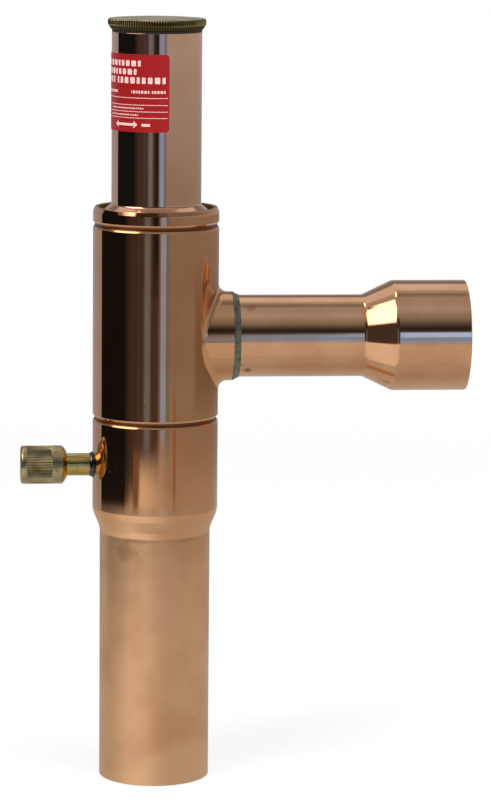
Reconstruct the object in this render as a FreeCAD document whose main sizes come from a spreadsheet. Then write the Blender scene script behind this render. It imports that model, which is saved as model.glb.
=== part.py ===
import FreeCAD, Part
import Sketcher
import math
import os

# An evaporator pressure regulator for a refrigeration suction line, in millimetres.
# Gas comes in at the bottom socket, lifts a spring-loaded plate off its seat and leaves through the
# side socket. The origin is the centre of the inlet end, +Z runs up the body, the outlet points
# along +X and the gauge port along -X. Every turned piece is drawn upright about its own Z axis.

Vector = FreeCAD.Vector

# Driving sizes

SIZES = {
    # Body tube, which widens at its neck from the inlet socket to the body proper
    "body_wall": 1.5,
    "neck_height": 86.3,
    "neck_rise": 7.7,
    "neck_step": 2.5,
    "neck_round": 5.5,
    "lip_roll": 0.55,
    "lip_height": 1.5,
    # Solder sockets for a 35 mm line, the same at both ends
    "socket_radius": 17.55,
    "socket_depth": 25.0,
    "tube_wall": 1.2,
    "stop_step": 0.45,
    # Rolled grooves that lock the inner parts
    "groove_width": 2.4,
    "groove_depth": 0.75,
    # Heights up the body, each measured from the one before: the neck's top, the gauge port, the
    # lower groove, the outlet, the upper groove, the lip, and from the lip the bonnet's shoulder and top
    "gauge_rise": 13.9,
    "lower_groove_rise": 16.4,
    "outlet_rise": 27.5,
    "upper_groove_rise": 38.2,
    "lip_rise": 5.8,
    "shoulder_rise": 0.9,
    "bonnet_rise": 58.6,
    # Outlet branch
    "outlet_reach": 105.3,
    "outlet_radius": 13.9,
    "outlet_insertion": 4.5,
    "collar_wall": 1.1,
    "collar_length": 4.25,
    "collar_round": 3.0,
    "swage_length": 10.2,
    "swage_round": 3.0,
    "braze_length": 2.4,
    # Bonnet tube and its flared skirt
    "bonnet_radius": 15.1,
    "bonnet_wall": 1.2,
    "shoulder_drop": 3.4,
    "shoulder_round": 1.2,
    "skirt_length": 6.0,
    # Gauge port
    "gauge_radius": 3.8,
    "gauge_inside": 1.25,
    "gauge_stem_length": 8.85,
    "gauge_shoulder_length": 1.3,
    "gauge_shoulder_foot": 4.5,
    "gauge_thread_radius": 5.4,
    "gauge_thread_length": 9.1,
    "gauge_relief": 1.0,
    "gauge_nose_length": 2.4,
    "gauge_nose_radius": 3.2,
    "gauge_braze_radius": 4.6,
    "gauge_braze_length": 1.1,
    # Valve core in the gauge port
    "core_radius": 2.3,
    "core_length": 6.0,
    "core_inset": 1.4,
    "core_bore": 1.0,
    "core_chamber": 1.75,
    "core_end": 0.8,
    "core_travel": 1.0,
    "core_seal_radius": 1.9,
    "core_seal_length": 1.5,
    "core_pin_radius": 0.7,
    "core_collar": 0.6,
    "core_passage": 1.5,
    "core_wire": 0.2,
    "core_coils": 4.0,
    # Gauge cap
    "gauge_cap_wall": 0.98,
    "gauge_cap_end": 1.1,
    "gauge_cap_round": 1.0,
    "gauge_cap_gasket": 0.7,
    "knurl_plain": 3.5,
    "knurl_margin": 2.1,
    "knurl_depth": 0.4,
    "knurl_width": 0.9,
    "knurl_count": 36,
    # Setting gear in the bonnet
    "sleeve_wall": 3.3,
    "screw_length": 7.0,
    "screw_engaged": 2.0,
    "screw_nose_radius": 5.5,
    "hexagon_width": 8.0,
    "hexagon_depth": 6.0,
    "setting_up": 4.0,
    "spring_plate_radius": 11.6,
    "spring_plate": 2.5,
    "spigot_length": 3.5,
    "spigot_gap": 0.4,
    # Springs
    "wire_radius": 1.6,
    "spring_radius": 9.6,
    "spring_coils": 5.5,
    # Valve, bellows and seat
    "seat_bore": 13.0,
    "seat_below": 4.8,
    "seat_above": 6.2,
    "seat_lip": 1.5,
    "seat_lip_width": 1.6,
    "valve_overlap": 1.0,
    "valve_thickness": 2.0,
    "stem_radius": 3.0,
    "stem_thread": 2.5,
    "stem_tip": 2.0,
    "stem_rise": 4.0,
    "bellows_radius": 13.6,
    "bellows_root": 10.5,
    "bellows_wall": 0.3,
    "bellows_folds": 8,
    "bellows_crest": 0.9,
    "cup_shoulder": 5.0,
    "cuff_length": 3.5,
    "flange_thickness": 6.0,
    "flange_lip": 0.7,
    "flange_opening": 15.5,
    # Damping dashpot
    "damper_radius": 7.5,
    "damper_wall": 1.0,
    "damper_room": 1.2,
    "damper_rim": 1.2,
    "damper_floor": 1.2,
    "damper_hang": 11.5,
    "piston_length": 3.4,
    "bleed_radius": 0.8,
    "bracket_thickness": 1.5,
    "bracket_land": 1.6,
    "bracket_rim": 3.5,
    "spoke_width": 5.0,
    "spoke_count": 3,
    # Nuts on the stem
    "nut_height": 3.4,
    "nut_width": 8.0,
    "piston_nut_height": 2.8,
    "piston_nut_width": 7.0,
    # Protective cap and gasket
    "gasket_thickness": 0.8,
    "cap_overhang": 1.34,
    "cap_height": 3.8,
    "cap_bevel": 1.1,
    "cap_bevel_height": 1.6,
    "cap_band": 1.3,
    "cap_crown": 0.25,
    "cap_crown_inset": 4.0,
    "plug_length": 7.8,
    "plug_wall": 2.4,
    # Rating label
    "label_drop": 6.9,
    "label_height": 25.7,
    "label_angle": 175.0,
    "label_edge": 12.0,
    "label_thickness": 0.15,
    "label_gap": 0.05,
    "label_corner": 1.3,
    # Clearances and small edges
    "fit_gap": 0.1,
    "running_gap": 0.06,
    "edge": 0.4,
}

doc = FreeCAD.newDocument("pressure_regulator")
sheet = doc.addObject("Spreadsheet::Sheet", "size")
for row, (alias, number) in enumerate(SIZES.items(), start=1):
    sheet.set(f"A{row}", alias)
    sheet.set(f"B{row}", str(number))
    sheet.setAlias(f"B{row}", alias)
doc.recompute()

# Sizes that follow from the driving ones, as expressions on the sheet

TUBE_RADIUS = "(size.socket_radius + size.tube_wall)"
BODY_RADIUS = f"({TUBE_RADIUS} + size.neck_step)"
BODY_BORE = f"({BODY_RADIUS} - size.body_wall)"
NECK_TOP = "(size.neck_height + size.neck_rise)"
GAUGE_HEIGHT = f"({NECK_TOP} + size.gauge_rise)"
LOWER_GROOVE = f"({GAUGE_HEIGHT} + size.lower_groove_rise)"
OUTLET_HEIGHT = f"({LOWER_GROOVE} + size.outlet_rise)"
UPPER_GROOVE = f"({OUTLET_HEIGHT} + size.upper_groove_rise)"
BODY_TOP = f"({UPPER_GROOVE} + size.lip_rise)"
GROOVE_HALF = "(size.groove_width / 2)"
GROOVE_BOW = "((size.groove_width^2 / 4 + size.groove_depth^2) / (2 * size.groove_depth))"
SEATED_HALF = "(size.groove_width / 2 + size.fit_gap)"
SEATED_BOW = f"(({SEATED_HALF}^2 + size.groove_depth^2) / (2 * size.groove_depth))"

SWAGE_END = "(size.outlet_reach - size.socket_depth)"
SWAGE_START = f"({SWAGE_END} - size.swage_length)"
OUTLET_BORE = "(size.outlet_radius - size.tube_wall)"
COLLAR_BORE = "(size.outlet_radius + size.fit_gap)"
COLLAR_RADIUS = f"({COLLAR_BORE} + size.collar_wall)"
COLLAR_REACH = f"({BODY_RADIUS} + size.collar_length)"

SHOULDER_HEIGHT = f"({BODY_TOP} + size.shoulder_rise)"
BONNET_TOP = f"({BODY_TOP} + size.bonnet_rise)"
LABEL_TOP = f"({BONNET_TOP} - size.label_drop)"
LABEL_BOTTOM = f"({LABEL_TOP} - size.label_height)"
SEATED_RADIUS = f"({BODY_BORE} - size.fit_gap)"
SKIRT_BORE = f"({SEATED_RADIUS} - size.bonnet_wall)"
SKIRT_BOTTOM = f"({UPPER_GROOVE} - size.skirt_length)"
SKIRT_TOP = f"({SHOULDER_HEIGHT} - size.shoulder_drop)"
BONNET_BORE = "(size.bonnet_radius - size.bonnet_wall)"

SEAT_BOTTOM = f"({LOWER_GROOVE} - size.seat_below)"
SEAT_TOP = f"({LOWER_GROOVE} + size.seat_above)"
SEAT_FACE = f"({SEAT_TOP} + size.seat_lip)"
SEAT_LIP_RADIUS = "(size.seat_bore + size.seat_lip_width)"
VALVE_RADIUS = f"({SEAT_LIP_RADIUS} + size.valve_overlap)"
VALVE_TOP = f"({SEAT_FACE} + size.valve_thickness)"
CUP_SHOULDER = f"({VALVE_TOP} + size.cup_shoulder)"
CUP_TOP = f"({CUP_SHOULDER} + size.cuff_length)"
FLANGE_BOTTOM = f"({SKIRT_BOTTOM} - size.flange_thickness)"
FOLDS_TOP = f"({FLANGE_BOTTOM} - size.cuff_length)"
FOLD_PITCH = f"(({FOLDS_TOP} - {CUP_TOP}) / size.bellows_folds)"
CUFF_BORE = "(size.bellows_root - size.bellows_wall)"
CUFF_SPIGOT = f"({CUFF_BORE} - size.fit_gap)"
STEM_SHOULDER = f"({SKIRT_BOTTOM} + size.stem_rise)"

THREAD_RADIUS = f"({BONNET_BORE} - size.fit_gap - size.sleeve_wall)"
CAP_BOTTOM = f"({BONNET_TOP} + size.gasket_thickness)"
CAP_TOP = f"({CAP_BOTTOM} + size.cap_height)"
CAP_RADIUS = "(size.bonnet_radius + size.cap_overhang)"
PLUG_BOTTOM = f"({CAP_BOTTOM} - size.plug_length)"

SCREW_TOP = f"({PLUG_BOTTOM} - size.setting_up - size.edge)"
SCREW_BOTTOM = f"({SCREW_TOP} - size.screw_length)"
SLEEVE_BOTTOM = f"({SCREW_BOTTOM} - size.screw_engaged)"
UPPER_PLATE_TOP = f"({SLEEVE_BOTTOM} - size.setting_up - 5 * size.fit_gap)"
UPPER_PLATE_BOTTOM = f"({UPPER_PLATE_TOP} - size.spring_plate)"
LOWER_PLATE_TOP = f"({STEM_SHOULDER} + size.spring_plate)"
SPRING_LENGTH = f"({UPPER_PLATE_BOTTOM} - {LOWER_PLATE_TOP})"
THREAD_PIN = f"({THREAD_RADIUS} - size.fit_gap)"
SPIGOT_RADIUS = "(size.spring_radius - size.wire_radius - size.spigot_gap)"

BRACKET_BOTTOM = f"({SEAT_BOTTOM} - size.bracket_thickness)"
PISTON_TOP = f"({SEAT_BOTTOM} - size.damper_hang)"
PISTON_BOTTOM = f"({PISTON_TOP} - size.piston_length)"
STEM_FOOT = f"({PISTON_BOTTOM} - size.piston_nut_height - size.edge)"
CYLINDER_RADIUS = "(size.damper_radius + size.damper_wall)"
CYLINDER_FLOOR = f"({STEM_FOOT} - size.damper_room)"
CYLINDER_BOTTOM = f"({CYLINDER_FLOOR} - size.damper_floor)"
BRACKET_BORE = f"({CYLINDER_RADIUS} + size.fit_gap)"

GAUGE_START = f"({BODY_BORE} - size.gauge_inside)"
GAUGE_SHOULDER = f"({BODY_RADIUS} + size.gauge_stem_length)"
GAUGE_FACE = f"({GAUGE_SHOULDER} + size.gauge_shoulder_length)"
GAUGE_THREAD_END = f"({GAUGE_FACE} + size.gauge_thread_length)"
GAUGE_NOSE = f"({GAUGE_THREAD_END} + size.gauge_relief)"
GAUGE_END = f"({GAUGE_NOSE} + size.gauge_nose_length)"
CORE_OUTER = f"({GAUGE_END} - size.core_inset)"
CORE_INNER = f"({CORE_OUTER} - size.core_length)"
CORE_SEAL = f"({CORE_INNER} - size.core_seal_length)"
CORE_FOOT = f"({CORE_SEAL} - size.core_collar)"
CORE_POCKET = f"({CORE_FOOT} - size.core_travel - size.core_collar)"
CORE_CHAMBER_START = f"({CORE_INNER} + size.core_end)"
CORE_CHAMBER_END = f"({CORE_OUTER} - size.core_end)"
CORE_COLLAR_END = f"({CORE_CHAMBER_END} - 2 * size.fit_gap)"
CORE_COLLAR_START = f"({CORE_COLLAR_END} - size.core_collar)"
GAUGE_CAP_BORE = "(size.gauge_thread_radius + size.fit_gap)"
GAUGE_CAP_RADIUS = f"({GAUGE_CAP_BORE} + size.gauge_cap_wall)"
GAUGE_CAP_MOUTH = f"({GAUGE_FACE} + size.fit_gap)"
GAUGE_CAP_FLOOR = f"({GAUGE_END} + size.gauge_cap_gasket)"
GAUGE_CAP_TOP = f"({GAUGE_CAP_FLOOR} + size.gauge_cap_end)"


def value(expression):
    """The number that an expression on the sheet stands for."""
    return float(sheet.evalExpression(str(expression)))


# Drawing and turning


def new_piece(label):
    """An empty body whose label is the name of its file."""
    body = doc.addObject("PartDesign::Body", label)
    body.Label = label
    return body


def sketch_on(body, name, role):
    """A sketch on one of the body's own origin planes."""
    sketch = body.newObject("Sketcher::SketchObject", name)
    plane = next(item for item in body.Origin.OriginFeatures if item.Role == role)
    sketch.AttachmentSupport = [(plane, "")]
    sketch.MapMode = "FlatFace"
    return sketch


def fix_point(sketch, edge, end, across, up):
    """Ties one end of a sketch edge to its place, measured from the sketch's origin."""
    for kind, expression in (("DistanceX", across), ("DistanceY", up)):
        number = sketch.addConstraint(Sketcher.Constraint(kind, -1, 1, edge, end, value(expression)))
        sketch.setExpression(f"Constraints[{number}]", str(expression))


def near_end(sketch, edge, point):
    """Which end of a sketch edge lies at a point: 1 for its start and 2 for its end."""
    to_start = (sketch.getPoint(edge, 1) - point).Length
    to_end = (sketch.getPoint(edge, 2) - point).Length
    return 1 if to_start < to_end else 2


def draw(body, name, corners, role="XZ_Plane"):
    """A closed outline. A corner is (across, up), or (across, up, radius, side) where an arc leads
    to it, with the arc's centre to the left (1) or the right (-1) of the way along the outline."""
    sketch = sketch_on(body, name, role)
    places = [Vector(value(corner[0]), value(corner[1]), 0) for corner in corners]
    for index, corner in enumerate(corners):
        start = places[index - 1]
        end = places[index]
        if len(corner) == 2:
            edge = sketch.addGeometry(Part.LineSegment(start, end), False)
            continue
        radius = value(corner[2])
        along = end - start
        middle = (start + end) / 2
        to_left = Vector(-along.y, along.x, 0).normalize() * corner[3]
        centre = middle + to_left * math.sqrt(radius**2 - along.Length**2 / 4)
        edge = sketch.addGeometry(Part.Arc(start, centre - to_left * radius, end), False)
        sketch.setExpression(
            f"Constraints[{sketch.addConstraint(Sketcher.Constraint('Radius', edge, radius))}]",
            corner[2],
        )
    for index, corner in enumerate(corners):
        following = (index + 1) % len(corners)
        here = near_end(sketch, index, places[index])
        there = near_end(sketch, following, places[index])
        sketch.addConstraint(Sketcher.Constraint("Coincident", index, here, following, there))
        fix_point(sketch, index, here, corner[0], corner[1])
    doc.recompute()
    return sketch


def draw_circle(body, name, radius, role, across="0", up="0"):
    """A sketch that holds one circle."""
    sketch = sketch_on(body, name, role)
    centre = Vector(value(across), value(up), 0)
    edge = sketch.addGeometry(Part.Circle(centre, Vector(0, 0, 1), value(radius)), False)
    number = sketch.addConstraint(Sketcher.Constraint("Radius", edge, value(radius)))
    sketch.setExpression(f"Constraints[{number}]", str(radius))
    fix_point(sketch, edge, 3, across, up)
    doc.recompute()
    return sketch


def draw_hexagon(body, name, width, role="XY_Plane"):
    """A sketch of a regular hexagon, by its width across flats."""
    half = f"({width} / 2)"
    corner = f"({width} / sqrt(3))"
    corners = [(corner, "0"), (f"{corner} / 2", half), (f"-{corner} / 2", half)]
    corners += [(f"-{corner}", "0"), (f"-{corner} / 2", f"-{half}"), (f"{corner} / 2", f"-{half}")]
    return draw(body, name, corners, role)


def lift(sketch, height):
    """Moves a sketch along its plane's normal."""
    sketch.setExpression("AttachmentOffset.Base.z", height)
    doc.recompute()


def cut_or_fail(body, before, feature):
    """A cut that took nothing away is a mistake in its direction."""
    if body.Shape.Volume >= before - 1e-6:
        raise RuntimeError(f"{feature.Name} cuts nothing")


def turn(body, sketch, cut=False, angle="360", about="V_Axis"):
    """Turns an outline about an axis of its sketch, adding material or cutting it away."""
    before = body.Shape.Volume if cut else 0.0
    kind = "PartDesign::Groove" if cut else "PartDesign::Revolution"
    feature = body.newObject(kind, f"{sketch.Name}_turned")
    feature.Profile = sketch
    feature.ReferenceAxis = (sketch, [about])
    feature.setExpression("Angle", angle)
    doc.recompute()
    if cut:
        cut_or_fail(body, before, feature)
    return feature


def extrude(body, sketch, length, cut=False, both_ways=False, turned_round=False):
    """Pads an outline, or pockets it. A length of None cuts right through."""
    before = body.Shape.Volume if cut else 0.0
    kind = "PartDesign::Pocket" if cut else "PartDesign::Pad"
    feature = body.newObject(kind, f"{sketch.Name}_extruded")
    feature.Profile = sketch
    if length is None:
        feature.Type = "ThroughAll"
    else:
        feature.setExpression("Length", length)
    feature.Midplane = both_ways
    feature.Reversed = turned_round
    doc.recompute()
    if cut:
        cut_or_fail(body, before, feature)
    return feature


def edges_where(feature, wanted):
    """The names of a feature's edges that pass a test."""
    edges = enumerate(feature.Shape.Edges, start=1)
    return [f"Edge{number}" for number, edge in edges if wanted(edge)]


def ring(radius, height):
    """A test for the circular edge of a given radius at a given height."""

    def wanted(edge):
        if not isinstance(edge.Curve, Part.Circle):
            return False
        level = abs(edge.Curve.Center.z - value(height)) < 1e-4
        return level and abs(edge.Curve.Radius - value(radius)) < 1e-4

    return wanted


def crossing(main_radius, branch_radius):
    """A test for the edge where the outlet branch, along X, meets a cylinder about the Z axis."""

    def wanted(edge):
        middle = edge.valueAt((edge.FirstParameter + edge.LastParameter) / 2)
        from_main = math.hypot(middle.x, middle.y) - value(main_radius)
        from_branch = math.hypot(middle.y, middle.z - value(OUTLET_HEIGHT))
        return abs(from_branch - value(branch_radius)) < 1e-3 and abs(from_main) < 1e-3

    return wanted


def finish_edges(body, kind, size, tests):
    """Fillets or chamfers the edges that the tests pick out of the body as it stands."""
    tip = body.Tip
    names = [name for wanted in tests for name in edges_where(tip, wanted)]
    if not names:
        raise RuntimeError(f"{body.Label} has no edge for its {kind.lower()}")
    feature = body.newObject(f"PartDesign::{kind}", f"{body.Label}_{kind.lower()}")
    feature.Base = (tip, names)
    feature.setExpression("Radius" if kind == "Fillet" else "Size", size)
    doc.recompute()
    return feature


def round_edges(body, radius, *tests):
    return finish_edges(body, "Fillet", radius, tests)


def bevel_edges(body, size, *tests):
    return finish_edges(body, "Chamfer", size, tests)


def repeat_round(body, features, count):
    """Repeats features evenly about the body's Z axis."""
    pattern = body.newObject("PartDesign::PolarPattern", f"{features[-1].Name}_round")
    pattern.Originals = features
    axis = next(item for item in body.Origin.OriginFeatures if item.Role == "Z_Axis")
    pattern.Axis = (axis, [""])
    pattern.Angle = 360
    pattern.setExpression("Occurrences", count)
    body.Tip = pattern
    doc.recompute()
    return pattern


def place(body, along=Vector(0, 0, 1), height="0"):
    """Lays a piece's own Z axis along a direction, at a height above the inlet end."""
    body.Placement = FreeCAD.Placement(Vector(0, 0, 0), FreeCAD.Rotation(Vector(0, 0, 1), along))
    body.setExpression("Placement.Base.z", height)
    doc.recompute()
    return body


def turned_piece(label, corners):
    """A piece made by turning one closed outline."""
    body = new_piece(label)
    turn(body, draw(body, f"{label}_outline", corners))
    return body


def block(inner, outer, bottom, top):
    """The outline of a plain ring or, with an inner radius of 0, of a disc."""
    return [(inner, bottom), (outer, bottom), (outer, top), (inner, top)]


OUTLET = Vector(1, 0, 0)
GAUGE = Vector(-1, 0, 0)

# Pieces of the pressure shell


def groove_in(radius, height, half, bow, going_up, inward_side):
    """The two corners of a rolled groove in an outline that runs up or down a tube."""
    low = (radius, f"({height} - {half})")
    high = (radius, f"({height} + {half})")
    first, last = (low, high) if going_up else (high, low)
    return [first, (*last, bow, inward_side)]


def make_body_tube():
    """One drawn copper tube: inlet socket, neck, two rolled grooves and a pulled collar."""
    body = new_piece("body_tube")
    lip_start = f"({BODY_TOP} - size.lip_height)"
    outside = [("0", "0"), (TUBE_RADIUS, "0"), (TUBE_RADIUS, "size.neck_height")]
    outside += [(BODY_RADIUS, NECK_TOP)]
    for height in (LOWER_GROOVE, UPPER_GROOVE):
        outside += groove_in(BODY_RADIUS, height, GROOVE_HALF, GROOVE_BOW, True, -1)
    outside += [(BODY_RADIUS, lip_start)]
    outside += [(f"{BODY_RADIUS} - size.lip_roll", BODY_TOP), ("0", BODY_TOP)]
    turn(body, draw(body, "outside", outside))
    round_edges(body, "size.neck_round", ring(BODY_RADIUS, NECK_TOP))

    collar = draw_circle(body, "collar", COLLAR_RADIUS, "YZ_Plane", up=OUTLET_HEIGHT)
    extrude(body, collar, COLLAR_REACH)
    round_edges(body, "size.collar_round", crossing(BODY_RADIUS, COLLAR_RADIUS))

    bore = "(size.socket_radius - size.stop_step)"
    inside = [("0", "0"), ("size.socket_radius", "0"), ("size.socket_radius", "size.socket_depth")]
    inside += [(bore, "size.socket_depth"), (bore, "size.neck_height"), (BODY_BORE, NECK_TOP)]
    for height in (LOWER_GROOVE, UPPER_GROOVE):
        inside += groove_in(BODY_BORE, height, GROOVE_HALF, GROOVE_BOW, True, -1)
    inside += [(BODY_BORE, lip_start), (f"{BODY_BORE} - size.lip_roll", BODY_TOP)]
    inside += [("0", BODY_TOP)]
    turn(body, draw(body, "inside", inside), cut=True)

    branch = draw_circle(body, "branch_bore", COLLAR_BORE, "YZ_Plane", up=OUTLET_HEIGHT)
    extrude(body, branch, f"{COLLAR_REACH} + size.collar_round", cut=True, turned_round=True)
    round_edges(body, "size.collar_round", crossing(BODY_BORE, COLLAR_BORE))
    port_radius = "size.gauge_radius + size.fit_gap"
    port = draw_circle(body, "port_bore", port_radius, "YZ_Plane", up=GAUGE_HEIGHT)
    extrude(body, port, f"{BODY_RADIUS} + size.fit_gap", cut=True)
    return place(body)


def make_bonnet():
    """The spring housing: a tube with a flared skirt that the upper groove locks."""
    sink = "size.bonnet_wall / 2"
    corners = [("size.bonnet_radius", BONNET_TOP), ("size.bonnet_radius", SHOULDER_HEIGHT)]
    corners += [(SEATED_RADIUS, SKIRT_TOP)]
    corners += groove_in(SEATED_RADIUS, UPPER_GROOVE, SEATED_HALF, SEATED_BOW, False, 1)
    corners += [(SEATED_RADIUS, SKIRT_BOTTOM), (SKIRT_BORE, SKIRT_BOTTOM)]
    corners += groove_in(SKIRT_BORE, UPPER_GROOVE, SEATED_HALF, SEATED_BOW, True, -1)
    corners += [(SKIRT_BORE, f"{SKIRT_TOP} - {sink}")]
    corners += [(BONNET_BORE, f"{SHOULDER_HEIGHT} - {sink}"), (BONNET_BORE, BONNET_TOP)]
    body = turned_piece("bonnet", corners)
    shoulder = ring("size.bonnet_radius", SHOULDER_HEIGHT)
    round_edges(body, "size.shoulder_round", shoulder, ring(SEATED_RADIUS, SKIRT_TOP))
    return place(body)


def make_outlet_stub():
    """The branch tube, swaged up to a solder socket."""
    start = f"({COLLAR_REACH} - size.outlet_insertion)"
    corners = [("size.outlet_radius", start), ("size.outlet_radius", SWAGE_START)]
    corners += [(TUBE_RADIUS, SWAGE_END), (TUBE_RADIUS, "size.outlet_reach")]
    corners += [("size.socket_radius", "size.outlet_reach"), ("size.socket_radius", SWAGE_END)]
    corners += [(OUTLET_BORE, SWAGE_START), (OUTLET_BORE, start)]
    body = turned_piece("outlet_stub", corners)
    waist = ring("size.outlet_radius", SWAGE_START)
    round_edges(body, "size.swage_round", waist, ring(TUBE_RADIUS, SWAGE_END))
    return place(body, OUTLET, OUTLET_HEIGHT)


def make_outlet_braze():
    """The fillet of brazing alloy between the collar's mouth and the branch tube."""
    inner = "(size.outlet_radius + size.fit_gap / 2)"
    end = f"({COLLAR_REACH} + size.braze_length)"
    toe = f"({inner} + size.fit_gap)"
    corners = [(inner, COLLAR_REACH), (COLLAR_RADIUS, COLLAR_REACH)]
    corners += [(toe, end, "size.braze_length * 1.5", -1), (inner, end)]
    return place(turned_piece("outlet_braze", corners), OUTLET, OUTLET_HEIGHT)


def make_rating_label():
    """A thin self-adhesive sheet with rounded corners, wrapped round the bonnet."""
    body = new_piece("rating_label")
    inner = "(size.bonnet_radius + size.label_gap)"
    outer = f"({inner} + size.label_thickness)"
    outline = draw(body, "label_section", block(inner, outer, LABEL_BOTTOM, LABEL_TOP))
    turn(body, outline, angle="size.label_angle")

    def corner(edge):
        flat = abs(edge.Vertexes[0].Z - edge.Vertexes[-1].Z) < 1e-6
        return flat and abs(edge.Length - value("size.label_thickness")) < 1e-6

    round_edges(body, "size.label_corner", corner)
    body.Placement.Rotation = FreeCAD.Rotation(Vector(0, 0, 1), 1)
    body.setExpression("Placement.Rotation.Angle", "270 + size.label_edge - size.label_angle")
    doc.recompute()
    return body


# Gauge port and its valve core


def make_gauge_stub():
    """The brass port: a stem through the body wall, a shoulder, a thread and a flare nose."""
    corners = [("size.core_passage", GAUGE_START), ("size.gauge_radius", GAUGE_START)]
    corners += [("size.gauge_radius", GAUGE_SHOULDER)]
    corners += [("size.gauge_shoulder_foot", GAUGE_SHOULDER)]
    corners += [(f"{GAUGE_CAP_RADIUS} - size.fit_gap", GAUGE_FACE)]
    corners += [("size.gauge_thread_radius", GAUGE_FACE)]
    corners += [("size.gauge_thread_radius", GAUGE_THREAD_END)]
    corners += [("size.gauge_thread_radius - size.gauge_relief", GAUGE_THREAD_END)]
    corners += [("size.gauge_thread_radius - size.gauge_relief", GAUGE_NOSE)]
    corners += [("size.gauge_thread_radius - size.edge", GAUGE_NOSE)]
    corners += [("size.gauge_nose_radius", GAUGE_END)]
    corners += [("size.core_radius + size.fit_gap", GAUGE_END)]
    corners += [("size.core_radius + size.fit_gap", CORE_POCKET)]
    corners += [("size.core_passage", CORE_POCKET)]
    return place(turned_piece("gauge_stub", corners), GAUGE, GAUGE_HEIGHT)


def make_gauge_braze():
    """The brazed ring that seals the port's stem, hollowed to lie on the round body."""
    inner = "(size.gauge_radius + size.fit_gap / 2)"
    start = f"({BODY_BORE})"
    end = f"({BODY_RADIUS} + size.gauge_braze_length)"
    corners = [(inner, start), ("size.gauge_braze_radius", start)]
    corners += [("size.gauge_braze_radius", BODY_RADIUS)]
    corners += [(f"{inner} + size.fit_gap", end, "size.gauge_braze_length * 1.5", -1), (inner, end)]
    body = turned_piece("gauge_braze", corners)
    wall = draw_circle(body, "body_wall", f"{BODY_RADIUS} + size.fit_gap / 2", "YZ_Plane")
    extrude(body, wall, "4 * size.gauge_braze_radius", cut=True, both_ways=True)
    return place(body, GAUGE, GAUGE_HEIGHT)


def make_core_body():
    """The valve core's barrel, with a chamber for its spring."""
    corners = [("size.core_bore", CORE_INNER), ("size.core_radius", CORE_INNER)]
    corners += [("size.core_radius", CORE_OUTER), ("size.core_bore", CORE_OUTER)]
    corners += [("size.core_bore", CORE_CHAMBER_END), ("size.core_chamber", CORE_CHAMBER_END)]
    corners += [("size.core_chamber", CORE_CHAMBER_START), ("size.core_bore", CORE_CHAMBER_START)]
    return place(turned_piece("core_body", corners), GAUGE, GAUGE_HEIGHT)


def make_core_pin():
    """The pin that a gauge hose pushes in, with a foot for the seal and a collar for the spring."""
    foot = "(size.core_bore + 2 * size.fit_gap)"
    collar = "(size.core_chamber - 2 * size.fit_gap)"
    tip = f"({GAUGE_END} - size.core_collar)"
    corners = [("0", CORE_FOOT), (foot, CORE_FOOT), (foot, CORE_SEAL)]
    corners += [("size.core_pin_radius", CORE_SEAL), ("size.core_pin_radius", CORE_COLLAR_START)]
    corners += [(collar, CORE_COLLAR_START), (collar, CORE_COLLAR_END)]
    corners += [("size.core_pin_radius", CORE_COLLAR_END), ("size.core_pin_radius", tip), ("0", tip)]
    return place(turned_piece("core_pin", corners), GAUGE, GAUGE_HEIGHT)


def make_core_seal():
    inner = "size.core_pin_radius + size.fit_gap / 2"
    corners = block(inner, "size.core_seal_radius", CORE_SEAL, CORE_INNER)
    return place(turned_piece("core_seal", corners), GAUGE, GAUGE_HEIGHT)


def make_gauge_cap():
    """The screw cap over the port, knurled along its sides for the fingers."""
    corners = [(GAUGE_CAP_BORE, GAUGE_CAP_MOUTH), (GAUGE_CAP_RADIUS, GAUGE_CAP_MOUTH)]
    corners += [(GAUGE_CAP_RADIUS, GAUGE_CAP_TOP), ("0", GAUGE_CAP_TOP)]
    corners += [("0", GAUGE_CAP_FLOOR), (GAUGE_CAP_BORE, GAUGE_CAP_FLOOR)]
    body = turned_piece("gauge_cap", corners)
    round_edges(body, "size.gauge_cap_round", ring(GAUGE_CAP_RADIUS, GAUGE_CAP_TOP))
    bottom = f"({GAUGE_CAP_RADIUS} - size.knurl_depth)"
    outer = f"({GAUGE_CAP_RADIUS} + size.knurl_depth)"
    notch = draw(
        body,
        "knurl_notch",
        [(bottom, "0"), (outer, "-size.knurl_width"), (outer, "size.knurl_width")],
        "XY_Plane",
    )
    lift(notch, f"{GAUGE_CAP_MOUTH} + size.knurl_plain")
    knurl_end = f"({GAUGE_CAP_TOP} - size.knurl_margin)"
    length = f"{knurl_end} - {GAUGE_CAP_MOUTH} - size.knurl_plain"
    cut = extrude(body, notch, length, cut=True, turned_round=True)
    repeat_round(body, [cut], "size.knurl_count")
    return place(body, GAUGE, GAUGE_HEIGHT)


def make_gauge_cap_gasket():
    outer = f"{GAUGE_CAP_BORE} - 2 * size.fit_gap"
    inner = "size.core_radius + 3 * size.fit_gap"
    corners = block(inner, outer, GAUGE_END, GAUGE_CAP_FLOOR)
    return place(turned_piece("gauge_cap_gasket", corners), GAUGE, GAUGE_HEIGHT)


# Setting gear


def make_threaded_sleeve():
    """The insert in the bonnet that carries the setting screw and the protective cap."""
    outer = f"{BONNET_BORE} - size.fit_gap"
    corners = block(THREAD_RADIUS, outer, SLEEVE_BOTTOM, BONNET_TOP)
    return place(turned_piece("threaded_sleeve", corners))


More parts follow.
